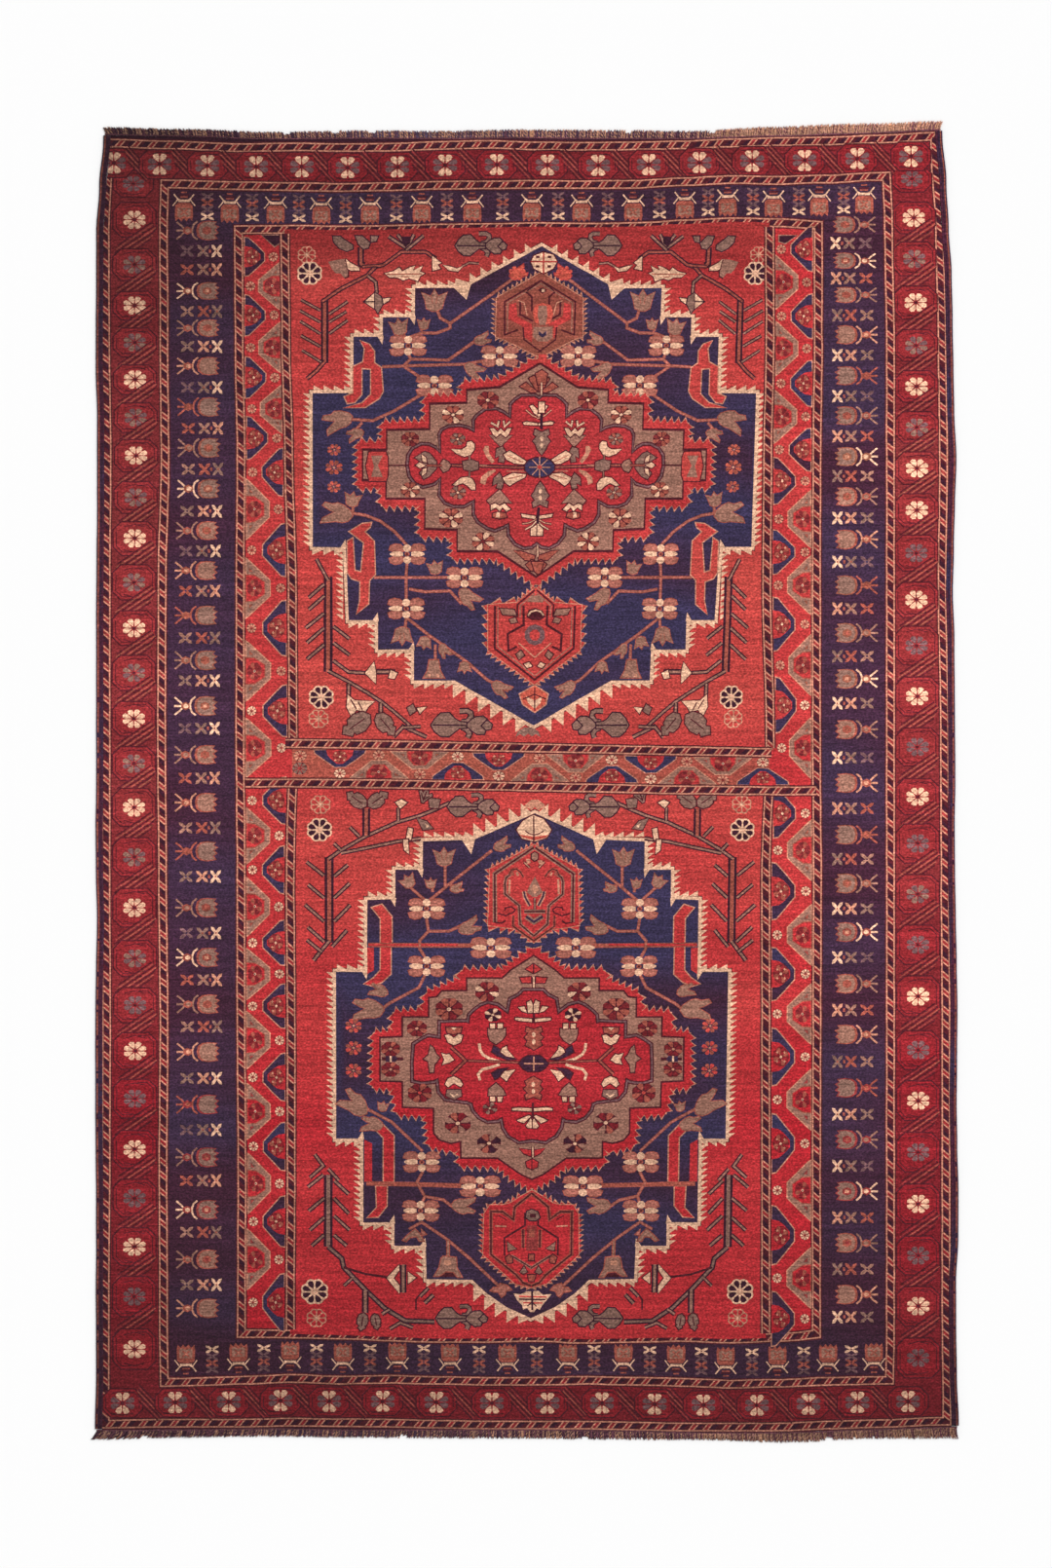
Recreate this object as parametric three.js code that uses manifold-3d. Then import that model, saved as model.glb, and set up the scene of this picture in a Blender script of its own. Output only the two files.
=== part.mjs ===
// A flat soumak rug, a wrapped-weft kilim, laid open with its pile-less face up.
// Millimetres, +Z up, X across the rug and +Y towards its top end. The origin is on the floor,
// at the middle of the rug's footprint.
//
// The cloth is one sheet. Three overcast cords run down each long edge, and the warp ends stand out
// of a narrow knotted strip at each short end.

import * as THREE from 'three';
import { mergeVertices } from 'three/addons/utils/BufferGeometryUtils.js';
import Module from 'manifold-3d';

const wasm = await Module();
wasm.setup();

// Driving dimensions
const RUG_WIDTH = 2032; // over the side cords, at the nominal edge
const RUG_LENGTH = 3048; // of the woven cloth, without the fringe
const CLOTH_THICKNESS = 3;
const CLOTH_SWELL = 0.35; // how far the hand-beaten face rises and falls
const END_WEB_LENGTH = 12; // plain-woven web at each end
const END_WEB_THICKNESS = 2.2;
const GAP = 0.3; // between neighbouring pieces

const CORD_COUNT = 3;
const CORD_WIDTH = 5.6;
const CORD_HEIGHT = 4.6;
const CORD_VALLEY = 2.8; // height of the groove between two cords

const STRIP_DEPTH = 4; // knotted strip that the fringe grows from
const STRIP_HEIGHT = 2.6;
const LOCKS_PER_END = 140;
const LOCK_FILL = 0.72; // share of the pitch that a lock fills at its root
const LOCK_TAPER = 0.7; // width of a lock's tip over its root's
const LOCK_HEIGHT = 2.4;
const LOCK_TIP_HEIGHT = 1.5;
const LOCK_ROOT = 2; // how deep a lock's root sits in the strip

// How far each long edge stands outside (+) or inside (-) its nominal line. "down" runs from the
// top end, at 0, to the bottom end, at 1.
const SIDES = [
  { down: 0.0, left: -18, right: -34 },
  { down: 0.03, left: -9, right: -25 },
  { down: 0.07, left: -1, right: -19 },
  { down: 0.12, left: -1, right: -11 },
  { down: 0.17, left: 1, right: -8 },
  { down: 0.21, left: -3, right: -6 },
  { down: 0.26, left: -3, right: 0 },
  { down: 0.3, left: -3, right: -5 },
  { down: 0.35, left: -1, right: -9 },
  { down: 0.4, left: -1, right: -5 },
  { down: 0.5, left: -1, right: -3 },
  { down: 0.55, left: 1, right: -5 },
  { down: 0.6, left: -3, right: -2 },
  { down: 0.68, left: 1, right: 2 },
  { down: 0.75, left: 1, right: 0 },
  { down: 0.84, left: -1, right: 5 },
  { down: 0.9, left: 0, right: -2 },
  { down: 0.95, left: -1, right: 0 },
  { down: 1.0, left: 2, right: 5 },
];

// The same for the two ends, with the length of the fringe there and how far its tips lean towards
// +X. "across" runs from the left corner, at 0, to the right one, at 1.
const ENDS = [
  { across: 0.0, top: 9, bottom: -1, topFringe: 18, bottomFringe: 23, topLean: -2, bottomLean: -12 },
  { across: 0.03, top: 7, bottom: -1, topFringe: 18, bottomFringe: 23, topLean: -2, bottomLean: -7 },
  { across: 0.1, top: 5, bottom: -2, topFringe: 18, bottomFringe: 21, topLean: -1, bottomLean: -2 },
  { across: 0.2, top: -2, bottom: -5, topFringe: 17, bottomFringe: 20, topLean: 0, bottomLean: -1 },
  { across: 0.3, top: 0, bottom: -2, topFringe: 20, bottomFringe: 21, topLean: 1, bottomLean: 1 },
  { across: 0.4, top: -1, bottom: -2, topFringe: 20, bottomFringe: 22, topLean: 0, bottomLean: 1 },
  { across: 0.5, top: 1, bottom: -2, topFringe: 21, bottomFringe: 23, topLean: 1, bottomLean: 2 },
  { across: 0.6, top: -1, bottom: 0, topFringe: 22, bottomFringe: 23, topLean: 1, bottomLean: 2 },
  { across: 0.7, top: -1, bottom: 5, topFringe: 20, bottomFringe: 20, topLean: 1, bottomLean: 3 },
  { across: 0.8, top: 5, bottom: 5, topFringe: 23, bottomFringe: 25, topLean: 2, bottomLean: 2 },
  { across: 0.9, top: 11, bottom: -3, topFringe: 25, bottomFringe: 24, topLean: 3, bottomLean: 2 },
  { across: 1.0, top: 20, bottom: -9, topFringe: 24, bottomFringe: 27, topLean: 5, bottomLean: 4 },
];

// Reads one column of a table at a place between its rows, with a soft turn at each row.
function between(table, key, place, column) {
  const last = table.length - 2;
  const found = table.findIndex((row, i) => i <= last && place <= table[i + 1][key]);
  const index = found < 0 ? last : found;
  const [low, high] = [table[index], table[index + 1]];
  const share = (place - low[key]) / (high[key] - low[key]);
  return THREE.MathUtils.lerp(low[column], high[column], THREE.MathUtils.smoothstep(share, 0, 1));
}

function leftEdge(down) {
  return -RUG_WIDTH / 2 - between(SIDES, 'down', down, 'left');
}

function rightEdge(down) {
  return RUG_WIDTH / 2 + between(SIDES, 'down', down, 'right');
}

// The line of the cloth's end at a share of the rug's width. "towards" is 1 at the top, -1 at the bottom.
function endLine(across, towards) {
  const column = towards > 0 ? 'top' : 'bottom';
  return towards * (RUG_LENGTH / 2 + between(ENDS, 'across', across, column));
}

// A point of the rug's plan from its X and its share of the way down.
function planPoint(x, down) {
  const across = (x - leftEdge(down)) / (rightEdge(down) - leftEdge(down));
  const y = THREE.MathUtils.lerp(endLine(across, 1), endLine(across, -1), down);
  return new THREE.Vector2(x, y);
}

// A closed slab of columns x rows cells. place(column, row) gives its plan point and its top.
function slab(columns, rows, place) {
  const geometry = new THREE.BoxGeometry(columns, rows, 1, columns, rows, 1);
  const position = geometry.getAttribute('position');
  for (let i = 0; i < position.count; i += 1) {
    const column = Math.round(position.getX(i) + columns / 2);
    const row = Math.round(rows / 2 - position.getY(i));
    const { point, top } = place(column, row);
    position.setXYZ(i, point.x, point.y, position.getZ(i) > 0 ? top : 0);
  }
  geometry.deleteAttribute('normal');
  geometry.deleteAttribute('uv');
  return mergeVertices(geometry);
}

function toSolid(geometry) {
  const vertProperties = new Float32Array(geometry.getAttribute('position').array);
  const triVerts = new Uint32Array(geometry.getIndex().array);
  return new wasm.Manifold(new wasm.Mesh({ numProp: 3, vertProperties, triVerts }));
}

function toGeometry(solid) {
  const { vertProperties, triVerts } = solid.getMesh();
  const geometry = new THREE.BufferGeometry();
  geometry.setAttribute('position', new THREE.BufferAttribute(new Float32Array(vertProperties), 3));
  geometry.setIndex(new THREE.BufferAttribute(new Uint32Array(triVerts), 1));
  return geometry;
}

function mesh(name, geometry, colour, roughness) {
  geometry.computeVertexNormals();
  const material = new THREE.MeshStandardMaterial({ color: colour, roughness, metalness: 0 });
  const piece = new THREE.Mesh(geometry, material);
  piece.name = name;
  return piece;
}

// The rows of points that the cloth and its side cords share, closer together at the end webs, and
// the columns that the cloth and the knotted strips share.
const ROWS = 30;
const COLUMNS = 24;

function downAt(row) {
  const web = END_WEB_LENGTH / RUG_LENGTH;
  if (row === 0 || row === ROWS) return row / ROWS;
  return THREE.MathUtils.lerp(web, 1 - web, (row - 1) / (ROWS - 2));
}

function columnX(column, down) {
  const inset = CORD_COUNT * CORD_WIDTH + GAP;
  return THREE.MathUtils.lerp(leftEdge(down) + inset, rightEdge(down) - inset, column / COLUMNS);
}

// The cloth, between the side cords, with a thinner plain-woven web at each end.
function cloth() {
  const wavesAcross = 5;
  const wavesDown = 7;
  const drift = 4; // how far the waves across shift on the way down
  return slab(COLUMNS, ROWS, (column, row) => {
    const down = downAt(row);
    const waveAcross = Math.sin((column / COLUMNS) * wavesAcross * Math.PI + down * drift);
    const swell = waveAcross * Math.sin(down * wavesDown * Math.PI);
    const webbed = row === 0 || row === ROWS;
    const top = webbed ? END_WEB_THICKNESS : CLOTH_THICKNESS + CLOTH_SWELL * swell;
    return { point: planPoint(columnX(column, down), down), top };
  });
}

// Three cords, overcast side by side into one edge. side is -1 on the left and 1 on the right.
function sideCords(side) {
  const stepsPerCord = 4;
  const columns = CORD_COUNT * stepsPerCord;
  const width = CORD_COUNT * CORD_WIDTH;
  return slab(columns, ROWS, (column, row) => {
    const down = downAt(row);
    const across = (column / columns) * width;
    const x = side < 0 ? leftEdge(down) + across : rightEdge(down) - width + across;
    const rise = Math.abs(Math.sin((column / stepsPerCord) * Math.PI));
    const top = THREE.MathUtils.lerp(CORD_VALLEY, CORD_HEIGHT, rise);
    return { point: planPoint(x, down), top };
  });
}

// The narrow knotted strip just outside the cloth's end.
function knottedStrip(towards) {
  const down = towards > 0 ? 0 : 1;
  const stations = [leftEdge(down), rightEdge(down)];
  for (let column = 0; column <= COLUMNS; column += 1) {
    stations.splice(-1, 0, columnX(column, down));
  }
  return slab(stations.length - 1, 1, (column, row) => {
    const x = stations[column];
    const outer = (row === 0) === towards > 0;
    const y = planPoint(x, down).y + towards * (GAP + (outer ? STRIP_DEPTH : 0));
    return { point: new THREE.Vector2(x, y), top: STRIP_HEIGHT };
  });
}

// One lock of warp ends, lying level on the floor.
function lock(index, towards) {
  const across = (index + 0.5) / LOCKS_PER_END;
  const down = towards > 0 ? 0 : 1;
  const pitch = (rightEdge(down) - leftEdge(down)) / LOCKS_PER_END;
  const rootX = THREE.MathUtils.lerp(leftEdge(down), rightEdge(down), across);
  const rootY = planPoint(rootX, down).y + towards * (GAP + STRIP_DEPTH - LOCK_ROOT);
  const fringe = between(ENDS, 'across', across, towards > 0 ? 'topFringe' : 'bottomFringe');
  const lean = between(ENDS, 'across', across, towards > 0 ? 'topLean' : 'bottomLean');
  const unevenness = 1 + 0.06 * Math.sin(index * 2.4) + 0.04 * Math.sin(index * 0.9);
  const length = (fringe - GAP - STRIP_DEPTH) * unevenness + LOCK_ROOT;
  const rows = 2;
  return slab(1, rows, (column, row) => {
    const out = towards > 0 ? 1 - row / rows : row / rows;
    const halfWidth = (pitch * LOCK_FILL * THREE.MathUtils.lerp(1, LOCK_TAPER, out)) / 2;
    const x = rootX + lean * out * out + (column - 0.5) * 2 * halfWidth;
    const top = THREE.MathUtils.lerp(LOCK_HEIGHT, LOCK_TIP_HEIGHT, out);
    return { point: new THREE.Vector2(x, rootY + towards * length * out), top };
  });
}

function fringe(towards) {
  let solid = toSolid(knottedStrip(towards));
  for (let index = 0; index < LOCKS_PER_END; index += 1) {
    solid = solid.add(toSolid(lock(index, towards)));
  }
  return toGeometry(solid);
}

const WOVEN_RED = 0x8c2f30;
const CORD_WINE = 0x4a2a3c;
const FRINGE_TAN = 0x8a6a66;

const rug = new THREE.Group();
rug.add(
  mesh('kilim', cloth(), WOVEN_RED, 0.95),
  mesh('selvedge_left', sideCords(-1), CORD_WINE, 0.95),
  mesh('selvedge_right', sideCords(1), CORD_WINE, 0.95),
  mesh('fringe_top', fringe(1), FRINGE_TAN, 0.95),
  mesh('fringe_bottom', fringe(-1), FRINGE_TAN, 0.95),
);

const footprint = new THREE.Box3().setFromObject(rug).getCenter(new THREE.Vector3());
rug.position.set(-footprint.x, -footprint.y, 0);

export default rug;
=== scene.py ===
import bisect
import math
import random

import bmesh
import bpy
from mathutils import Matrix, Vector, noise
from mathutils.geometry import delaunay_2d_cdt


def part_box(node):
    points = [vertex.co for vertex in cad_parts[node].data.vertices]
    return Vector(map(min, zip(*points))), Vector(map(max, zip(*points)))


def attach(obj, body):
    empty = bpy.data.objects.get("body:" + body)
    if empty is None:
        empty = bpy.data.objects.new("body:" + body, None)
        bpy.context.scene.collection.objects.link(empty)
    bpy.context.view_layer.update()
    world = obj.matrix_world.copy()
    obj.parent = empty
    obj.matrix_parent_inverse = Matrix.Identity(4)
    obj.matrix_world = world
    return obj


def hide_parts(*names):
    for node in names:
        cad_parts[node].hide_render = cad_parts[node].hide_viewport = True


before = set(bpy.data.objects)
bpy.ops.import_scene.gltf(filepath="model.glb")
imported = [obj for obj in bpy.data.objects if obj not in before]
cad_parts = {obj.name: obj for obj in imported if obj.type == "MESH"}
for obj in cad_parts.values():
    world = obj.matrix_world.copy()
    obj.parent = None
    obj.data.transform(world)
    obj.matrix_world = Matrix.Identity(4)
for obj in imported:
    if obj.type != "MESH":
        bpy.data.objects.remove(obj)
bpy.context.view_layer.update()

# The weaver's chart counts stitches: x to the right, y down, from a point outside the top left corner.
# One stitch is 2.3 mm on the loom and one pixel of the reference photo. The chart is laid on the frame
# by the outermost points of its side cords and by the far ends of its cloth.
CHART_SIDES = (97.6, 984.2)
CHART_ENDS = (134.3, 1470.3)
RUG_SIDES = (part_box("selvedge_left")[0][0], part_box("selvedge_right")[1][0])
RUG_ENDS = (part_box("kilim")[1][1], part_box("kilim")[0][1])
STITCH = (RUG_SIDES[1] - RUG_SIDES[0]) / (CHART_SIDES[1] - CHART_SIDES[0])
ROW = (RUG_ENDS[1] - RUG_ENDS[0]) / (CHART_ENDS[1] - CHART_ENDS[0])


def on_rug(x, y):
    return RUG_SIDES[0] + (x - CHART_SIDES[0]) * STITCH, RUG_ENDS[0] + (y - CHART_ENDS[0]) * ROW


def on_chart(x, y):
    return CHART_SIDES[0] + (x - RUG_SIDES[0]) / STITCH, CHART_ENDS[0] + (y - RUG_ENDS[0]) / ROW


# Camera: straight above the rug, its frame 1080 by 1610 stitches of the chart.
FRAME_STITCHES = (1080, 1610)
LENS = 85
SENSOR = 36
camera_x, camera_y = on_rug(FRAME_STITCHES[0] / 2, FRAME_STITCHES[1] / 2)
camera = bpy.data.objects.new("camera", bpy.data.cameras.new("camera"))
camera.data.lens = LENS
camera.data.sensor_width = SENSOR
camera.location = (camera_x, camera_y, FRAME_STITCHES[1] * STITCH * LENS / SENSOR)
camera.data.clip_end = 100
bpy.context.scene.collection.objects.link(camera)
bpy.context.scene.camera = camera

# The wool: spun yarn dyed in small lots, its reds like madder's and its blues like indigo's. The dyes are
# given as the eye sees them by daylight (red, green, blue out of 255).
DYES = {
    "field": (196, 58, 59),
    "madder": (126, 36, 42),
    "madder_light": (144, 38, 44),
    "guard_red": (150, 44, 48),
    "rim": (204, 136, 112),
    "ribbon": (190, 48, 53),
    "clay": (174, 74, 66),
    "crimson": (184, 44, 52),
    "blush": (178, 106, 92),
    "navy": (61, 52, 84),
    "indigo": (64, 44, 68),
    "wine": (84, 28, 38),
    "wine_dark": (62, 26, 42),
    "taupe": (160, 112, 96),
    "grey": (120, 84, 86),
    "hatch": (142, 104, 92),
    "russet": (152, 70, 62),
    "cream": (236, 184, 152),
    "peach": (206, 140, 114),
    "rust": (166, 84, 70),
    "coral": (208, 80, 70),
    "orange": (172, 94, 72),
    "cord_navy": (50, 42, 70),
    "cord_wine": (70, 30, 48),
    "fringe_navy": (98, 80, 106),
    "fringe_wine": (122, 72, 84),
    "mat_dark": (108, 74, 84),
    "mat_pale": (142, 98, 86),
    "tan": (186, 138, 116),
    "sand": (204, 148, 116),
}
REDS = ("field", "crimson", "clay", "ribbon", "coral", "guard_red", "russet", "madder", "madder_light")
BLUES = ("navy", "indigo", "cord_navy", "fringe_navy")
BLUE_AT_ENDS = (66, 30, 46)  # what the blues turn to towards the ends and sides, and in random patches
CORAL_BELT = (600, 420)  # the row where the reds are most coral, and how far that reaches
PAINTED_LIGHT_MIDDLE = (540, 700)  # the stitch from which the painted light and shade are measured, and how far they reach
PAINTED_LIGHT_REACH = (440, 760)
DAYLIGHT = 1.22  # how brightly the lamps below light the floor


def linear(channel):
    share = channel / 255
    return share / 12.92 if share <= 0.04045 else ((share + 0.055) / 1.055) ** 2.4


def wool(dye, x, y):
    """A dye at a stitch of the chart. Dyed in small lots, the wool varies at random in tone. Over that lie
    painted light and shade: the wool is painted lightest a little above the middle and darkest in the
    corners. Its red runs from coral to crimson, and its blue turns to wine towards the ends."""
    red, green, blue = DYES[dye]
    u, v = (x - PAINTED_LIGHT_MIDDLE[0]) / PAINTED_LIGHT_REACH[0], (y - PAINTED_LIGHT_MIDDLE[1]) / PAINTED_LIGHT_REACH[1]
    patch = noise.noise(Vector((x * 0.004, y * 0.016, 9)))
    edge = min(max((abs(u) - 0.5) / 0.3, 0), 1)
    # Painted light and shade, over the random tone of the patches: lighter a little above the middle, to the
    # right and near the sides, darker towards the bottom and the top, and darkest in the top left corner.
    light = 1.07 + 0.02 * u + 0.05 * patch + edge * (0.15 + 0.02 * u - 0.14 * v ** 4)
    light -= 0.3 * edge * max(-v, 0) if u < 0 else 0
    light -= (0.19 + 0.09 * abs(u)) * v * v if v > 0 else 0.10 * v * v + 0.30 * max(-u, 0) * v * v
    # Painted shade: the red field is darker still across its top.
    if dye == "field":
        light -= 0.16 * min(max((-v - 0.5) / 0.1, 0), 1)
    if dye in REDS:
        coral = max(1 - ((y - CORAL_BELT[0]) / CORAL_BELT[1]) ** 2, -0.7) + 0.8 * patch
        green, blue = green * (1 + 0.21 * coral), blue * (1 + 0.10 * coral)
    if dye in BLUES:
        wine_share = min(max(0.12 + 0.5 * v * v + 0.55 * abs(u) ** 3 + 0.9 * patch, 0), 0.85)
        red, green, blue = (a + (b - a) * wine_share for a, b in zip((red, green, blue), BLUE_AT_ENDS))
    return tuple(linear(channel * light) / DAYLIGHT for channel in (red, green, blue))


# The chart of the cloth: patches of wool, each laid over the ones before it. A place turns a motif's
# own coordinates into the chart's.
chart = []
CORE_SHARE = 0.42  # how much of a rimmed line is its core
RIM = 1.2  # the line of wool round a motif


def straight(x, y):
    return x, y


def at(x, y, turn=0.0, wide=1.0, tall=1.0, place=straight):
    cos, sin = math.cos(math.radians(turn)), math.sin(math.radians(turn))
    return lambda u, v: place(x + u * wide * cos - v * tall * sin, y + u * wide * sin + v * tall * cos)


def paint(place, points, dye):
    chart.append(([place(u, v) for u, v in points], dye))


def disc(place, u, v, wide, tall, dye, sides=8):
    turns = [2 * math.pi * (i + 0.5) / sides for i in range(sides)]
    paint(place, [(u + wide * math.cos(a), v + tall * math.sin(a)) for a in turns], dye)


def offset_line(points, distance, closed):
    """The line beside a line of points, to its right for a positive distance."""
    count = len(points)
    moved = []
    for i, (x, y) in enumerate(points):
        before = points[i - 1] if closed or i else None
        after = points[(i + 1) % count] if closed or i + 1 < count else None
        ways = []
        for start, end in ((before, (x, y)), ((x, y), after)):
            if start and end:
                length = math.dist(start, end) or 1
                ways.append(((start[1] - end[1]) / length, (end[0] - start[0]) / length))
        nx, ny = (sum(w[k] for w in ways) / len(ways) for k in (0, 1))
        square = max(nx * nx + ny * ny, 0.3)
        moved.append((x + nx * distance / square, y + ny * distance / square))
    return moved


def band(place, path, width, dye):
    """A line of wool of one width along an open path."""
    right = offset_line(path, width / 2, False)
    left = offset_line(path, -width / 2, False)
    paint(place, right + left[::-1], dye)


def signed_area(points):
    return sum(a[0] * b[1] - b[0] * a[1] for a, b in zip(points, points[1:] + points[:1])) / 2


def grow(points, distance):
    """A closed outline moved outwards."""
    return offset_line(points, -distance if signed_area(points) > 0 else distance, True)


def edged(place, points, fill, edge, width=1.3):
    paint(place, grow(points, width), edge)
    paint(place, points, fill)


def cored(place, path, width, edge, core, core_width):
    band(place, path, width, edge)
    band(place, path, core_width, core)


def draw(places, rows):
    """Draws a table of rows: dye, width, x, y, x, y and so on. A width of 0 fills the outline. Two dyes
    with a stroke between them are a fill and its rim."""
    for dye, width, *flat in rows:
        points = list(zip(flat[::2], flat[1::2]))
        fill, _, rim = dye.partition("/")
        for place in places:
            if rim and width:
                cored(place, points, width, rim, fill, width * CORE_SHARE)
            elif rim:
                edged(place, points, fill, rim, RIM)
            elif width:
                band(place, points, width, fill)
            else:
                paint(place, points, fill)


def soft(table, at_value):
    """Reads a table of (place, value) rows between its rows, with a soft turn at each."""
    i = min(max(bisect.bisect_right([row[0] for row in table], at_value) - 1, 0), len(table) - 2)
    (a, low), (b, high) = table[i], table[i + 1]
    share = min(max((at_value - a) / (b - a), 0), 1)
    return low + (high - low) * share * share * (3 - 2 * share)


# Guard stripes: narrow bands that part the borders. Each is a wine ground between two peach lines,
# crossed by slanting bars of navy and red. Worked by hand they wander a little, so the tables give
# where the middle of each one runs, in stitches.
GUARD_ROWS = (150, 240, 350, 470, 600, 760, 900, 1050, 1200, 1350, 1460)
UPRIGHT_GUARDS = {
    "left_1": (112, 108, 108.5, 110, 109, 109, 109, 109.5, 109, 108, 108),
    "left_2": (170, 168, 168.5, 169.5, 166.5, 166, 167, 168.5, 167.5, 168, 169),
    "left_3": (245, 245, 245.5, 247.5, 246.5, 246.5, 247.5, 247.5, 248.5, 248, 247),
    "left_4": (292, 292.5, 293.5, 296.5, 300, 301, 298, 299, 299, 298, 298),
    "right_4": (790, 790, 790.5, 788, 787, 790.5, 786, 786, 786, 786, 786),
    "right_3": (840, 840, 840, 838.5, 838, 838, 839, 838.5, 838, 838, 838),
    "right_2": (909, 912, 914, 914, 914, 914, 914, 914, 914, 914, 913),
    "right_1": (959.5, 964.5, 967, 968.5, 967, 969.5, 970, 971, 971, 971, 972),
}
GUARD_COLUMNS = (108, 170, 250, 300, 350, 400, 450, 500, 550, 600, 650, 700, 750, 800, 850, 900, 965)
LEVEL_GUARDS = {
    "top_1": (147, 149, 152, 151, 152, 151.5, 149.5, 148.5, 150, 150.5, 150, 149, 147, 145.6, 145, 143, 140),
    "top_2": (188, 189, 191, 192, 193, 192, 190.5, 190, 189.5, 190, 189.5, 187, 184.5, 185.5, 184, 181.5,
              180),
    "top_3": (236, 236, 236, 236, 236.5, 236, 234.5, 234, 233, 233.5, 233, 230.5, 228, 229, 232, 232, 232),
    "middle_1": (763, 763, 763, 763.5, 764, 765, 766, 767, 768, 769, 770, 771, 772, 772.5, 773, 773, 773),
    "middle_2": (804, 804, 804, 804, 804.5, 805, 806, 807, 808, 809, 810, 811, 811.5, 812, 812, 812, 812),
    "bottom_3": (1369, 1369, 1369, 1369.5, 1370.5, 1372.5, 1374, 1374, 1373, 1375, 1374, 1373, 1374.5, 1373,
                 1369, 1369, 1369),
    "bottom_2": (1419, 1419, 1417, 1415, 1417, 1416, 1417, 1418, 1418, 1417, 1418, 1419, 1421, 1420, 1418,
                 1417, 1417),
    "bottom_1": (1462, 1461, 1461, 1460, 1460.5, 1461, 1462, 1463, 1463, 1463, 1464, 1465, 1465, 1465, 1463,
                 1461.5, 1459),
}
GUARD_STEP = 18  # between the points of a stripe's middle line
GUARD_UNIT = 16.6  # from one slanting bar to the next
GUARD_HALF = 5.7  # the ribbon border keeps this clear of a stripe's middle line


def upright(name, y):
    return soft(list(zip(GUARD_ROWS, UPRIGHT_GUARDS[name])), y)


def level(name, x):
    return soft(list(zip(GUARD_COLUMNS, LEVEL_GUARDS[name])), x)


def spaced(start, end, step):
    count = max(round(abs(end - start) / step), 1)
    return [start + (end - start) * i / count for i in range(count + 1)]


def upright_path(name, start, end):
    return [(upright(name, y), y) for y in spaced(start, end, GUARD_STEP)]


def level_path(name, start, end):
    return [(x, level(name, x)) for x in spaced(start, end, GUARD_STEP)]


def along(path):
    """A place that follows a path: u is the way along it and v the way across."""
    lengths = [0]
    for a, b in zip(path, path[1:]):
        lengths.append(lengths[-1] + math.dist(a, b))

    def place(u, v):
        i = min(max(bisect.bisect_right(lengths, u) - 1, 0), len(path) - 2)
        (ax, ay), (bx, by) = path[i], path[i + 1]
        length = lengths[i + 1] - lengths[i]
        share = (u - lengths[i]) / length
        wx, wy = (bx - ax) / length, (by - ay) / length
        return ax + (bx - ax) * share - wy * v, ay + (by - ay) * share + wx * v

    return place, lengths[-1]


def guard_bars(path):
    """The slanting bars of one straight run of guard stripe."""
    place, length = along(path)
    count = int(length / GUARD_UNIT)
    for i in range(count):
        a = (i + 0.06) * length / count + 0.9 * math.sin(i * 2.3)
        b = a + 5.0 + 0.8 * math.sin(i * 3.7)
        paint(place, [(a - 0.6, 2.5), (b - 1.6, 2.8), (b + 4, -2.2), (a + 5, -2.8)], "wine_dark")
        for c, width, dye in ((b, 1.7, "rim"), (b + 1.7, 3.2, "guard_red"), (b + 4.9, 1.7, "rim")):
            paint(place, [(c, 2.8), (c + width, 2.8), (c + width + 4.6, -2.8), (c + 4.6, -2.8)], dye)


def guard_ring(number, inside):
    """A guard stripe right round the rug, with what lies inside it."""
    left, right, top, bottom = f"left_{number}", f"right_{number}", f"top_{number}", f"bottom_{number}"
    x0, x1 = upright(left, GUARD_ROWS[0]), upright(right, GUARD_ROWS[0])
    y0, y1 = level(top, x0), level(top, x1)
    x0, x1 = upright(left, y0), upright(right, y1)
    x2, x3 = upright(right, GUARD_ROWS[-1]), upright(left, GUARD_ROWS[-1])
    y2, y3 = level(bottom, x2), level(bottom, x3)
    sides = [
        level_path(top, x0, x1),
        upright_path(right, y1, y2),
        level_path(bottom, x2, x3),
        upright_path(left, y3, y0),
    ]
    ring = [point for side in sides for point in side[:-1]]
    for distance, dye in ((5.8, "wine"), (4.5, "rim"), (3.1, "wine"), (-3.1, "rim"),
                          (-4.5, "wine"), (-5.8, inside)):
        paint(straight, grow(ring, distance), dye)
    for side in sides:
        guard_bars(side)


def guard_stripe(path):
    for width, dye in ((11.6, "wine"), (9.0, "rim"), (6.2, "wine")):
        band(straight, path, width, dye)
    guard_bars(path)


# The outer border: a madder ground with eight-petalled rosettes, each in a dark angular cartouche, and
# three slanting lines between each and the next.
LEFT_ROSETTES = (226, 272, 314, 352, 390, 429, 468, 511, 553, 598, 645, 691, 738, 784, 829, 880, 932, 984,
                 1032, 1079, 1128, 1180, 1230, 1280, 1331, 1385)
RIGHT_ROSETTES = (224, 266, 311, 355, 397, 439, 481, 524, 568, 616, 663, 715, 767, 818, 866, 918, 970, 1023,
                  1078, 1130, 1183, 1236, 1289, 1341, 1394)
TOP_ROSETTES = (117, 164, 213, 263, 310, 357, 408, 457, 510, 562, 614, 666, 718, 772, 826, 880, 935)
BOTTOM_ROSETTES = (126, 180, 235, 288, 338, 393, 448, 505, 562, 618, 672, 722, 777, 830, 880, 932)
LEFT_CREAM = "ctctctctctctctctcttctctctc"
RIGHT_CREAM = "ctctctcctctctctttctctctctt"


def petal(place, turn, radius, dye):
    """One rounded petal, pointing along a turn."""
    leaf = at(0, 0, turn, radius, radius, place)
    paint(leaf, [(0.2, 0), (0.62, -0.23), (0.92, -0.24), (1.03, 0), (0.92, 0.24), (0.62, 0.23)], dye)


def rosette(place, radius, dyes, centre="madder"):
    """Eight petals, whose dyes are given in turn from the right, clockwise."""
    for i in range(8):
        petal(place, 22.5 + 45 * i, radius, dyes[i % len(dyes)])
    disc(place, 0, 0, radius * 0.17, radius * 0.17, centre, 6)


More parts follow.
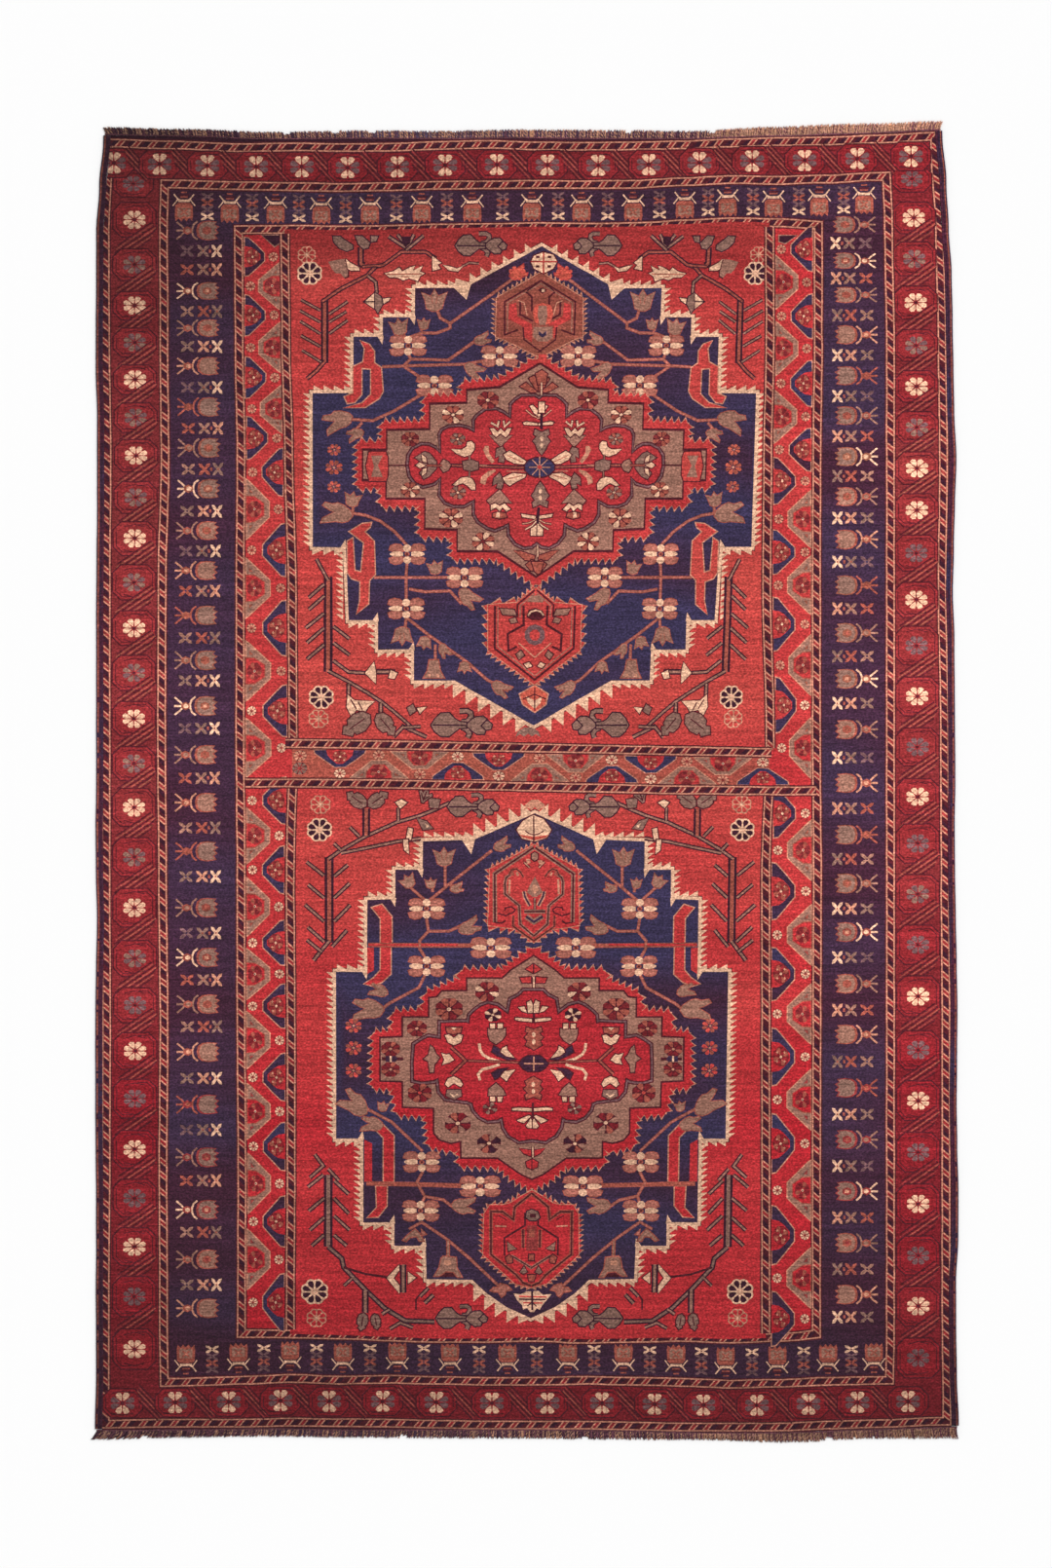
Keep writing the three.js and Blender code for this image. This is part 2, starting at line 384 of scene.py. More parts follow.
def cartouche(x, y, wide, tall, radius, squash, dyes):
    """A rosette between two bracketing lines."""
    edged(at(x, y), [(8 - wide, -tall), (wide - 8, -tall), (wide, 8 - tall), (wide, tall - 8),
                     (wide - 8, tall),
                     (8 - wide, tall), (-wide, tall - 8), (-wide, 8 - tall)], "madder_light", "wine", 1.4)
    for side in (-1, 1):
        here = at(x, y, 0, side, side)
        band(here, [(3, -tall + 2.6), (wide - 9, -tall + 2.6), (wide - 2.8, -tall + 8.6),
                    (wide - 2.8, tall - 9)],
             0.9, "wine")
    for side in (-1, 1):
        band(at(x, y, 0, 1, side), [(-radius * 0.9, tall * 0.72), (0, tall * 0.86),
                                    (radius * 0.9, tall * 0.72)],
             0.9, "wine")
    rosette(at(x, y, 0, 1, squash), radius, dyes, "wine")


def slanting_lines(x, y, run, rise):
    for shift, width, dye in ((-8.4, 1.5, "wine"), (-5.6, 1.0, "russet"), (-2.8, 1.5, "wine"),
                              (0, 1.2, "rust"),
                              (2.8, 1.5, "wine"), (5.6, 1.0, "russet"), (8.4, 1.5, "wine")):
        reach = 1 - abs(shift) / 40
        band(at(x, y + shift), [(-run * reach, -rise * reach), (run * reach, rise * reach)], width, dye)


def upright_border(rows, names, kinds):
    outer, inner = names
    for i, y in enumerate(rows):
        x = (upright(outer, y) + upright(inner, y)) / 2
        dyes = (("cream",), ("grey",), ("hatch", "grey"))[0 if kinds[i] == "c" else 1 + i % 2]
        pitch = rows[min(i + 1, len(rows) - 1)] - rows[min(i, len(rows) - 2)]
        cartouche(x, y, 21.5, pitch * 0.37, 11.9, 0.81, dyes)
        if i + 1 < len(rows):
            slanting_lines(x, (y + rows[i + 1]) / 2, 22, -15)


def level_border(columns, outer, inner):
    for i, x in enumerate(columns):
        y = (level(outer, x) + level(inner, x)) / 2
        cartouche(x, y, 20, 14.2, 12.8, 0.88, ("grey", "cream", "cream", "grey"))
        if i + 1 < len(columns):
            middle = (x + columns[i + 1]) / 2
            slanting_lines(middle, (y + level(outer, middle) / 2 + level(inner, middle) / 2) / 2, 12, 12.5)


guard_ring(1, "madder")
upright_border(LEFT_ROSETTES, ("left_1", "left_2"), LEFT_CREAM)
upright_border(RIGHT_ROSETTES, ("right_1", "right_2"), RIGHT_CREAM)
for corner_x, corner_y in ((137, 189), (936, 184)):
    cartouche(corner_x, corner_y, 20, 13, 11.5, 0.7, ("grey",))
level_border(TOP_ROSETTES, "top_1", "top_2")
level_border(BOTTOM_ROSETTES, "bottom_1", "bottom_2")


# The navy border: tulips that open inwards under a pair of curved arms, with columns of small crosses
# between them.
TOP_TULIPS = (189, 236, 283, 330, 380, 433, 485, 546, 597, 650, 703, 747, 794, 841, 887)
TOP_CROSSES = (213, 259, 307, 355, 407, 459, 516, 573, 624, 677, 727, 773, 820, 866)
BOTTOM_TULIPS = (191, 245, 298, 352, 408, 462, 521, 583, 640, 694, 745, 798, 850, 897)
BOTTOM_CROSSES = (218, 271, 325, 380, 435, 492, 551, 610, 667, 720, 772, 825, 874)
LEFT_TULIPS = (237, 299, 337, 376, 418, 460, 502, 545, 586, 632, 678, 725, 775, 824, 874, 932, 983, 1031,
               1080, 1134, 1188, 1242, 1293, 1343)
LEFT_CROSSES = (258, 277, 320, 356, 398, 440, 482, 525, 566, 607, 655, 699, 748, 799, 850, 900, 958, 1006,
                1054, 1107, 1160, 1212, 1265, 1319)
RIGHT_TULIPS = (231, 268, 303, 344, 386, 427, 469, 510, 554, 601, 650, 697, 749, 804, 857, 907, 957, 1010,
                1062, 1117, 1170, 1223, 1276, 1329)
RIGHT_CROSSES = (250, 286, 324, 365, 407, 448, 489, 532, 577, 625, 674, 722, 778, 830, 882, 933, 983, 1037,
                 1090, 1144, 1197, 1250, 1303, 1352)


def cross(place, wide, tall, dye, heart=None):
    """A small cross of four tapering arms."""
    arm = ((0.9, 0.52), (1.0, 1.0), (0.46, 0.9), (0, 0.3))
    points = list(arm)
    points += [(-u, v) for u, v in arm[2::-1]] + [(-0.3, 0)]
    points += [(-u, -v) for u, v in arm] + [(u, -v) for u, v in arm[2::-1]] + [(0.3, 0)]
    paint(at(0, 0, 0, wide, tall, place), points, dye)
    if heart:
        disc(place, 0, 0, wide * 0.2, tall * 0.2, heart, 4)


def border_tulip(place, arms, body, rim, heart):
    """A tulip on its curved arms. It opens along +u."""
    for side in (-1, 1):
        arm = at(0, 0, 0, 1, side, place)
        band(arm, [(-10.5, 9.6), (-5.5, 5.2), (-2, 1)], 1.9, arms)
        band(arm, [(11, 10.2), (7, 6.6), (5.4, 2), (5.4, -0.3)], 1.9, arms)
    disc(place, 0.5, 0, 5, 4.6, rim, 6)
    disc(place, 1, 0, 2.8, 2.6, arms, 6)
    band(place, [(-11, 0), (-4, 0)], 2.2, arms)
    paint(place, [(9.6, 0), (11, -6.5), (15, -10), (22, -11), (31, -10), (28.5, -6.6), (33.5, -4.4),
                  (29.5, -1),
                  (33, 2.4), (29, 5), (32, 9.6), (22, 11), (15, 10), (11, 6.5)], rim)
    paint(place, [(12, 0), (13.6, -6.4), (17, -9), (22, -9.8), (30, -9.2), (27.5, -6.6), (31.5, -4), (28, -1),
                  (31, 2.2), (27.5, 5), (30, 8.8), (22, 9.8), (17, 9), (13.6, 6.4)], body)
    if heart:
        disc(place, 20.5, 0, 5.2, 4.8, rim, 6)
        disc(place, 20.5, 0, 2.8, 2.6, heart, 4)


def crosses_row(place, kind):
    tones = (("grey", "hatch", "cream"), ("rust", "taupe", "peach"), ("taupe", "rust", "hatch"),
             ("hatch", "peach", "cream"))[kind % 4]
    cross(at(-1, 0, 0, 1, 1, place), 6.8, 5.6, tones[0], "navy")
    cross(at(15.5, 0, 0, 1, 1, place), 6.0, 6.0, tones[1], "rust")
    cross(at(29.5, 0, 0, 1, 1, place), 5.4, 6.6, tones[2], "rust")
    disc(place, 22.6, 0, 1.6, 2.4, "rust", 4)


def upright_tulips(rows, outer, side):
    for i, y in enumerate(rows):
        x = upright(outer, y) + side * 24
        arms, body, rim, heart = (
            ("taupe", "hatch", "russet", "rust"), ("peach", "taupe", "rust", None),
            ("cream", "hatch", "russet", "peach"),
            ("rust", "hatch", "russet", None), ("taupe", "taupe", "rust", "russet"))[(i * 7) % 5]
        gap = min(abs(other - y) for other in rows if other != y)
        border_tulip(at(x, y, 0, side, min(0.92, gap / 46)), arms, body, rim, heart)


def level_tulips(columns, outer, side):
    for x in columns:
        y = level(outer, x) + side * 18
        place = at(x, y, 90, side, 1)
        for hand in (-1, 1):
            arm = at(0, 0, 0, 1, hand, place)
            band(arm, [(-7.5, 10.5), (-2.5, 6.5), (-0.6, 3), (-0.6, -0.2)], 1.4, "cream")
            band(arm, [(-2.5, 6.2), (0.5, 8.4), (4.5, 11.6)], 1.2, "cream")
        band(place, [(-0.6, -6), (-0.6, 6)], 2.4, "cream")
        for u, reach, dye in ((-9.5, 3, "rust"), (-6.5, 5, "wine"), (-4.5, 4, "rust")):
            band(place, [(u, -reach), (u, reach)], 1.5, dye)
        paint(place, [(1.5, -6.5), (4, -9), (15, -9.5), (20, -8.5), (17, -5.4), (20.5, -2.8), (17.5, 0),
                      (20.5, 2.8), (17, 5.4), (20, 8.5), (15, 9.5), (4, 9), (1.5, 6.5)], "rust")
        paint(place, [(6.5, -6.6), (15, -6.8), (16.5, -4), (14.5, 0), (16.5, 4), (15, 6.8), (6.5, 6.6)],
              "taupe")
        cross(at(10.5, 0, 0, 1, 1, place), 3.4, 4, "rust", "peach")


def level_crosses(columns, outer, side):
    for x in columns:
        y = level(outer, x) + side * 11
        place = at(x, y, 90, side, 1)
        for step in range(3):
            cross(at(1 + step * 6.6, 0, 0, 1, 1, place), 4, 6.4, "rust" if step % 2 else "grey", "navy")
        cross(at(21.5, 0, 0, 1, 1, place), 3.8, 6.8, "cream", "wine")


guard_ring(2, "indigo")
upright_tulips(LEFT_TULIPS, "left_2", 1)
upright_tulips(RIGHT_TULIPS, "right_2", -1)
for rows, name, side in ((LEFT_CROSSES, "left_2", 1), (RIGHT_CROSSES, "right_2", -1)):
    for i, y in enumerate(rows):
        crosses_row(at(upright(name, y) + side * 25, y, 0, side, 1), i)
level_tulips(TOP_TULIPS, "top_2", 1)
level_crosses(TOP_CROSSES, "top_2", 1)
level_tulips(BOTTOM_TULIPS, "bottom_2", -1)
level_crosses(BOTTOM_CROSSES, "bottom_2", -1)


# The ribbon border: a red ribbon that zigzags between angular cartouches, navy ones on one side and
# hatched taupe ones on the other, each with a rosette. It runs down both sides of the field and across
# between the two panels.
def flower_dot(place, size, dye="peach"):
    disc(place, 0, 0, size * 1.1, size * 1.1, "wine", 8)
    disc(place, 0, 0, size * 0.8, size * 0.8, "guard_red", 8)
    for turn in range(0, 360, 45):
        arm = at(0, 0, turn, size, size, place)
        paint(arm, [(0.2, 0), (0.95, -0.3), (1.05, 0), (0.95, 0.3)], dye)


def ribbon_unit(place, half, depth, navy):
    """One cartouche, with its base on v = 0 and its top towards +v."""
    here = at(0, 0, 0, half, depth, place)
    if navy:
        edged(here, [(-1, 0.03), (-0.97, 0.2), (-0.62, 0.55), (-0.2, 0.95), (0.2, 0.95), (0.62, 0.55),
                     (0.97, 0.2),
                     (1, 0.03)], "navy", "rim", 0.045)
        paint(here, [(-0.54, 0), (-0.49, 0.32), (-0.38, 0.5), (-0.12, 0.78), (0.12, 0.78), (0.38, 0.5),
                     (0.49, 0.32),
                     (0.54, 0)], "ribbon")
        heart = at(0, depth * 0.4, 0, 1.15, 0.95, place)
        reach = min(half * 0.38, depth * 0.36)
        disc(heart, 0, 0, reach, reach, "madder", 10)
        rosette(heart, reach * 0.92, ("rust", "guard_red"), "cream")
        for turn in range(45, 360, 90):
            disc(at(0, 0, turn, 1, 1, heart), 5.6, 0, 1.3, 1.3, "peach", 4)
    else:
        edged(here, [(-1, 0.02), (-0.95, 0.1), (-0.25, 0.98), (0.25, 0.98), (0.95, 0.1), (1, 0.02)],
              "taupe", "peach", 0.045)
        for side in (-1, 1):
            paint(at(0, 0, 0, side, 1, here), [(0.52, 0.1), (0.84, 0.1), (0.52, 0.42)], "hatch")
            paint(at(0, 0, 0, side, 1, here), [(0.55, 0.14), (0.72, 0.14), (0.55, 0.32)], "russet")
        edged(here, [(-0.44, 0.02), (-0.42, 0.36), (-0.2, 0.76), (0.2, 0.76), (0.42, 0.36), (0.44, 0.02)],
              "ribbon", "rust", 0.035)
        heart = at(0, depth * 0.36, 0, 1.1, 0.95, place)
        disc(heart, 0, 0, 8.2, 8.2, "guard_red", 10)
        rosette(heart, 8, ("madder", "rust", "madder"), "cream")
        disc(heart, 0, 0, 0.9, 0.9, "navy", 4)


# Each cartouche of the ribbon: its row or column, whether it is navy, and whether it stands on the
# inner guard stripe.
UPPER_LEFT = ((264, 1, 0), (294, 0, 1), (324, 1, 0), (357, 0, 1), (388, 1, 0), (420, 0, 1),
              (450, 1, 0), (485, 1, 1), (523, 0, 0), (565, 1, 1), (604, 0, 0), (645, 1, 1), (689, 0, 0),
              (730, 1, 1), (768, 0, 0))
LOWER_LEFT = ((822, 1, 1), (858, 0, 0), (893, 1, 1), (931, 0, 0), (968, 1, 1), (1000, 0, 0), (1033, 1, 1),
              (1068, 0, 0), (1106, 1, 1), (1141, 0, 0), (1177, 1, 1), (1215, 0, 0), (1254, 1, 1),
              (1293, 0, 0),
              (1337, 1, 1))
UPPER_RIGHT = ((256, 1, 0), (290, 0, 1), (325, 1, 0), (358, 0, 1), (394, 1, 0), (428, 0, 1), (462, 1, 0),
               (494, 1, 1), (533, 0, 0), (567, 1, 1), (601, 0, 0), (641, 1, 1), (683, 0, 0), (724, 1, 1),
               (768, 0, 0))
LOWER_RIGHT = ((835, 1, 1), (873, 0, 0), (915, 1, 1), (960, 0, 0), (1000, 1, 1), (1041, 0, 0), (1085, 1, 1),
               (1129, 0, 0), (1174, 1, 1), (1222, 0, 0), (1268, 1, 1), (1312, 0, 0), (1354, 1, 1))


def upright_ribbon(rows, outer, inner):
    for i, (y, navy, is_inner) in enumerate(rows):
        gaps = [abs(rows[k][0] - y) for k in (i - 1, i + 1) if 0 <= k < len(rows)]
        half = min(sum(gaps) / len(gaps) * (0.66 if navy else 0.78), 30)
        near, far = upright(outer, y), upright(inner, y)
        side = math.copysign(1, far - near)
        width = abs(far - near) - 2 * GUARD_HALF
        x = far - side * GUARD_HALF if is_inner else near + side * GUARD_HALF
        towards = -side if is_inner else side
        place = at(x, y, 90, 1, -towards)
        ribbon_unit(place, half, width * 0.6, navy)
        flower_dot(at(0, width - 6.2, 0, 1, 1, place), 4.6, "peach" if y < 700 else "cream")


def level_ribbon(columns, outer, inner):
    for x, navy, is_inner in columns:
        near, far = level(outer, x), level(inner, x)
        width = abs(far - near) - 2 * GUARD_HALF
        y = far - GUARD_HALF if is_inner else near + GUARD_HALF
        place = at(x, y, 0, 1, -1 if is_inner else 1)
        ribbon_unit(place, 26 if navy else 29, width * 0.64, navy)
        flower_dot(at(0, width - 4.8, 0, 1.25, 1, place), 4.6, "cream" if navy else "peach")


MIDDLE = ((349, 1, 0), (389, 0, 1), (431, 0, 0), (470, 1, 1), (512, 1, 0), (554, 0, 1), (591, 0, 0),
          (628, 1, 1),
          (668, 1, 0), (705, 0, 1), (742, 0, 0), (783, 1, 1))

guard_ring(3, "ribbon")
upright_ribbon(UPPER_LEFT, "left_3", "left_4")
upright_ribbon(LOWER_LEFT, "left_3", "left_4")
upright_ribbon(UPPER_RIGHT, "right_3", "right_4")
upright_ribbon(LOWER_RIGHT, "right_3", "right_4")


draw([straight], [
    ("wine_dark/taupe", 0, 269, 242, 287, 242, 287, 250, 282, 253),
    ("wine_dark/taupe", 0, 800, 242, 818, 242, 806, 250, 800, 248),
])


# The two panels of the field: plain grounds of madder red wool, woven in one with the borders. Each is
# framed by its own guard stripes, and the lower one is the longer.
PANEL_MIDDLE = 540


def panel(top, bottom):
    top_y, bottom_y = level(top, PANEL_MIDDLE), level(bottom, PANEL_MIDDLE)
    x0, x1 = upright("left_4", top_y), upright("right_4", top_y)
    x2, x3 = upright("right_4", bottom_y), upright("left_4", bottom_y)
    sides = [level_path(top, x0, x1), upright_path("right_4", level(top, x1), level(bottom, x2)),
             level_path(bottom, x2, x3), upright_path("left_4", level(bottom, x3), level(top, x0))]
    paint(straight, [point for side in sides for point in side[:-1]], "field")


panel("top_3", "middle_1")
panel("middle_2", "bottom_3")


# The upper medallion: a stepped navy ground with a cream saw-toothed edge, an inner medallion of red and
# taupe, two palmettes on its long axis, and vines with butterfly-like flowers. It is wrapped row by row
# in dyed wool, and most motifs have a dark line round them.
def mirrored(axis, reach):
    """The left half's place and the right half's, about a line between two points. The right half is
    woven to a share of the left half's width."""
    (x0, y0), (x1, y1) = axis
    lean = (x1 - x0) / (y1 - y0)

    def right(x, y):
        middle = x0 + (y - y0) * lean
        return middle + (middle - x) * reach, y

    return straight, right


def whole(halves, left_points):
    """An outline from its left half, whose first and last points are on the axis."""
    near, far = [], []
    for x, y in left_points:
        other = halves[1](x, y)[0]
        if other - x < 5:
            near.append(((x + other) / 2, y))
        else:
            near.append((x, y))
            far.append((other, y))
    return near + far[::-1]


def teeth(place, start, end, pitch, height, dye, lean=0.6, base=0.85):
    """Saw teeth to the left of the way from start to end."""
    length = math.dist(start, end)
    count = max(round(length / pitch), 1)
    wx, wy = (end[0] - start[0]) / length, (end[1] - start[1]) / length
    step = length / count
    for i in range(count):
        a = step * (i + 0.08)
        b = a + step * base
        tip = a + step * lean
        paint(place, [(start[0] + wx * a, start[1] + wy * a), (start[0] + wx * b, start[1] + wy * b),
                      (start[0] + wx * tip + wy * height, start[1] + wy * tip - wx * height)], dye)


def butterfly(place, x, y, wide=1.0):
    """A vine flower: two cream wings and two cream buds, between four blush petals."""
    here = at(x, y, 0, wide, 1, place)
    for side in (-1, 1):
        for up in (-1, 1):
            edged(at(0, 0, 0, side, up, here), [(3.4, 3.4), (8, 3.0), (15, 3.3), (18.4, 4.6), (17, 8.6),
                                                (12.5, 10.2),
                                                (7, 9.6), (4.6, 7.4)], "blush", "rust", 0.9)
        paint(at(0, 0, 0, side, 1, here), [(4.2, -1.8), (8, -2.9), (13.5, -2.7), (17.8, -0.9), (17.8, 0.9),
                                           (13.5, 2.6),
                                           (8, 2.8), (4.2, 1.8)], "cream")
    for up in (-1, 1):
        disc(here, 0, 6.2 * up, 4.3, 4.0, "cream")
    disc(here, 0, 0, 3.0, 2.4, "rust", 6)
    disc(here, 0, 0, 1.5, 1.2, "wine", 4)


def vine(place, path, width=2.6):
    cored(place, path, width + 0.4, "rust", "blush", width * 0.5)


def tulip_bud(place, x, y, turn, size, dye="taupe", edge="rust"):
    """A bud that opens along its turn, with two prongs."""
    edged(at(x, y, turn, size, size, place), [
        (-0.95, -0.08), (-0.7, -0.42), (-0.35, -0.52), (0.05, -0.5), (0.92, -0.66), (0.84, -0.36),
        (0.4, -0.1), (0.16, 0.06),
        (0.42, 0.14), (0.9, 0.4), (0.76, 0.58), (0.3, 0.5), (0, 0.62), (-0.4, 0.5), (-0.82, 0.2),
    ], dye, edge, 0.9 / size)


def crown_bud(place, x, y, turn, size, dye="taupe", edge="rust"):
    """A bud that opens along its turn, with three prongs."""
    edged(at(x, y, turn, size, size, place), [
        (-0.95, -0.2), (-0.7, -0.72), (0.05, -0.88), (0.8, -1.2), (0.38, -0.36), (1.0, 0), (0.38, 0.36),
        (0.8, 1.2),
        (0.05, 0.88), (-0.7, 0.72), (-0.95, 0.2),
    ], dye, edge, 0.9 / size)
    for side in (-0.3, 0.3) if size > 9 else ():
        band(at(x, y, turn, size, size, place), [(-0.3, side * 0.5), (0.4, side)], 0.7 / size, edge)


UPRIGHT_TURNS = (-120, -100, -90, -80, 90, 100)


def buds(place, rows):
    """Buds from rows of x, y, turn and size. Those that stand about upright have three prongs."""
    for x, y, turn, size in rows:
        bud = crown_bud if turn in UPRIGHT_TURNS else tulip_bud
        bud(place, x, y, turn, size)


def small_rosette(place, x, y, radius, dye="rust", heart="peach"):
    rosette(at(x, y, 0, 1, 0.85, place), radius, (dye, "coral"), heart)


def palmette(halves, outline, sides, ground):
    """A palmette's saw-toothed ground, from its left half."""
    shape = whole(halves, outline)
    for place in halves:
        for i, (start, end) in enumerate(zip(outline, outline[1:])):
            pitch, height = sides[i]
            if pitch:
                teeth(place, end, start, pitch, height + 0.8, "peach", 0.8, 0.95)
                teeth(place, end, start, pitch, height - 1.4, ground, 0.8, 0.95)
    paint(straight, grow(shape, 0.8), "peach")
    paint(straight, shape, ground)


# The saw-toothed edge of a medallion: how far its dark line, its cream line and the feet of its teeth
# stand out from the navy ground, and the pitch and height of the teeth down its sides and on its steps.
DARK_LINE = 4.0
CREAM_LINE = 3.2
TOOTH_FOOT = 2.8
SIDE_TEETH = (6.2, 7.4)
STEP_TEETH = (10.3, 5.4)
LEANS_UNDER = 4  # how far a side may lean and still be toothed
LONGER_THAN = 8  # the shortest side with teeth
SHOULDER = 15  # the shortest step whose corner has a cream tip


def medallion(axis, reach, body, fangs):
    """The navy ground and its cream saw-toothed edge, from the left half."""
    halves = mirrored(axis, reach)
    outline = whole(halves, body)
    paint(straight, grow(outline, DARK_LINE), "wine")
    paint(straight, grow(outline, CREAM_LINE), "cream")
    middle = (axis[0][1] + axis[1][1]) / 2
    for place in halves:
        for start, end in zip(body, body[1:]):
            wx, wy = end[0] - start[0], end[1] - start[1]
            if abs(wx) < LEANS_UNDER and abs(wy) > LONGER_THAN:
                x = start[0] - TOOTH_FOOT
                teeth(place, (x, end[1]), (x, start[1]), *SIDE_TEETH, "cream", 0.92, 0.84)
            elif abs(wy) < LEANS_UNDER and abs(wx) > LONGER_THAN:
                a, b = sorted((start[0], end[0]))
                if wx < 0:
                    y = start[1] - TOOTH_FOOT
                    teeth(place, (a, y), (b, y), *STEP_TEETH, "cream", 0.0, 0.95)
                else:
                    y = start[1] + TOOTH_FOOT
                    teeth(place, (b, y), (a, y), *STEP_TEETH, "cream", 0.95, 0.95)
        for x, y, tall in fangs:
            paint(place, [(x, y), (x, y + tall), (x + 11.5, y + tall * 0.36), (x + 11.5, y)], "cream")
    paint(straight, outline, "navy")
    for place in halves:
        for before, corner, after in zip(body, body[1:], body[2:]):
            in_lower_half = corner[1] > middle
            side, step = (after, before) if in_lower_half else (before, after)
            if abs(side[0] - corner[0]) < LEANS_UNDER and step[0] < corner[0] - SHOULDER:
                way = -1 if in_lower_half else 1
                paint(place, [(corner[0] - 6, corner[1] - way), (corner[0] + 0.8, corner[1] - way),
                              (corner[0] - 0.4, corner[1] + 8 * way)], "cream")
    return halves


UPPER_AXIS = ((556, 253), (548, 745))
UPPER_STEPS = [(556, 253), (480, 294), (478, 306), (470, 296), (426, 296), (426, 326), (393, 326), (393, 346),
               (363, 346), (363, 404), (321, 404), (321, 562), (355, 562), (358, 637), (388, 637), (388, 667),
               (425, 667), (425, 699), (467, 699), (546, 745)]
upper = medallion(
    UPPER_AXIS, 0.958, UPPER_STEPS,
    [(465 + 12.8 * i, 703 + 7.0 * i, 14) for i in range(6)]
    + [(482 + 11.4 * i, 294 - 6.0 * i, -13.5) for i in range(6)])
draw(upper, [("cream", 0, 466, 296, 468, 286, 484, 291, 479, 308)])


def upper_medallion(halves):
    for place in halves:
        for path in (
            [(449, 318), (452, 327), (462, 332), (505, 302), (530, 284)],
            [(462, 332), (462, 337), (448, 342), (432, 342)],
            [(432, 342), (419, 347)], [(432, 340), (435, 333)], [(416, 347), (413, 340)],
            [(419, 363), (422, 369), (414, 376), (392, 377)], [(422, 369), (460, 370), (488, 350)],
            [(414, 376), (478, 374), (500, 370)], [(414, 376), (438, 392)],
            [(438, 402), (405, 422), (383, 432), (360, 431)], [(372, 434), (363, 444)],
            [(362, 527), (375, 529), (390, 535), (405, 546), (418, 560)], [(362, 527), (363, 516)],
            [(418, 578), (417, 592)], [(384, 593), (462, 593)], [(417, 593), (417, 615)],
            [(420, 605), (436, 608), (462, 607), (474, 620)],
            [(417, 634), (440, 652), (480, 680), (500, 698), (522, 710)], [(417, 634), (416, 645)],
            [(447, 662), (447, 680)],
        ):
            vine(place, path)
        for x, y in ((419, 355), (513, 366), (446, 396), (418, 569), (477, 593), (417, 625)):
            butterfly(place, x, y)
        buds(place, ((446, 309, -90, 11), (410, 336, -100, 8.5), (435, 333, -90, 5.5), (495, 349, -20, 9),
                     (486, 380, 30, 11), (347, 432, 160, 16), (365, 446, 160, 9), (346, 527, 185, 17),
                     (362, 513, -80, 7.5), (447, 583, -100, 7), (481, 614, 40, 13), (413, 653, 90, 9.5),
                     (436, 660, 100, 6.5), (456, 668, 60, 8), (477, 685, 90, 6), (514, 707, 30, 11)))
        small_rosette(place, 531, 281, 9, "coral", "rust")
        for y, radius in ((462, 7), (480, 9), (500, 7)):
            small_rosette(place, 343, y, radius)
        for points in (
            [(370, 350), (379, 354), (384, 361), (384, 373), (391, 378), (393, 402), (389, 409), (375, 418),
             (352, 419), (372, 414), (381, 405), (381, 379), (371, 378), (371, 405), (364, 413), (357, 414),
             (354, 408), (363, 404), (363, 377), (373, 372), (375, 358)],
            [(359, 546), (372, 538), (381, 537), (380, 541), (374, 546), (384, 556), (385, 590), (379, 596),
             (378, 620), (366, 631), (370, 617), (370, 597), (361, 594), (357, 588), (357, 556), (362, 553),
             (364, 586), (371, 588), (374, 557)],
        ):
            edged(place, points, "field", "peach", RIM)


upper_medallion(upper)
draw(upper, [("taupe/rust", 0, 441, 678, 450, 678, 452, 689, 456, 696, 435, 696, 439, 689),
             ("peach", 0, 439, 692, 442, 692, 442, 695, 439, 695),
             ("peach", 0, 448, 692, 451, 692, 451, 695, 448, 695)])


SQUAT = 0.62  # the band of boxes is this much narrower down its sides than along its steps


def inner_medallion(halves, steps, lobes, boxes=None):
    """The red toothed outline, the taupe band of boxes and the lobed red middle, from their left halves."""
    outline = whole(halves, steps)
    paint(straight, grow(outline, RIM), "peach")
    for place in halves:
        for start, end in zip(steps, steps[1:]):
            for height, dye in ((7.2, "peach"), (4.8, "ribbon")):
                teeth(place, end, start, 7.8, height, dye, 0.3, 0.95)
    paint(straight, outline, "ribbon")
    if boxes:
        edged(straight, whole(halves, boxes), "taupe", "wine", 1.8)
    else:
        squat = [(x, y * SQUAT) for x, y in outline]
        for inset, dye in ((3.4, "wine"), (5.0, "taupe")):
            paint(straight, [(x, y / SQUAT) for x, y in grow(squat, -inset)], dye)
    field = whole(halves, lobes)
    paint(straight, grow(field, 4.2), "wine")
    paint(straight, grow(field, 3.0), "grey")
    paint(straight, grow(field, 1.3), "wine")
    paint(straight, field, "crimson")


def cluster(place, x, y, radius, dyes, heart):
    """A rosette on a dark ground, as the inner medallions have in their boxes."""
    here = at(x, y, 0, 1.15, 0.92, place)
    disc(here, 0, 0, radius, radius, "wine", 8)
    rosette(here, radius * 0.96, dyes, heart)


def crescent(place, x, y, wide, tall, dye):
    """A cup, open towards +v."""
    paint(at(x, y, 0, wide, tall, place), [(-1, 1), (-0.62, 0.5), (-0.3, 0.9), (0, 0.35), (0.3, 0.9),
                                           (0.62, 0.5),
                                           (1, 1), (0.82, 0), (0.3, -0.7), (-0.3, -0.7), (-0.82, 0)], dye)


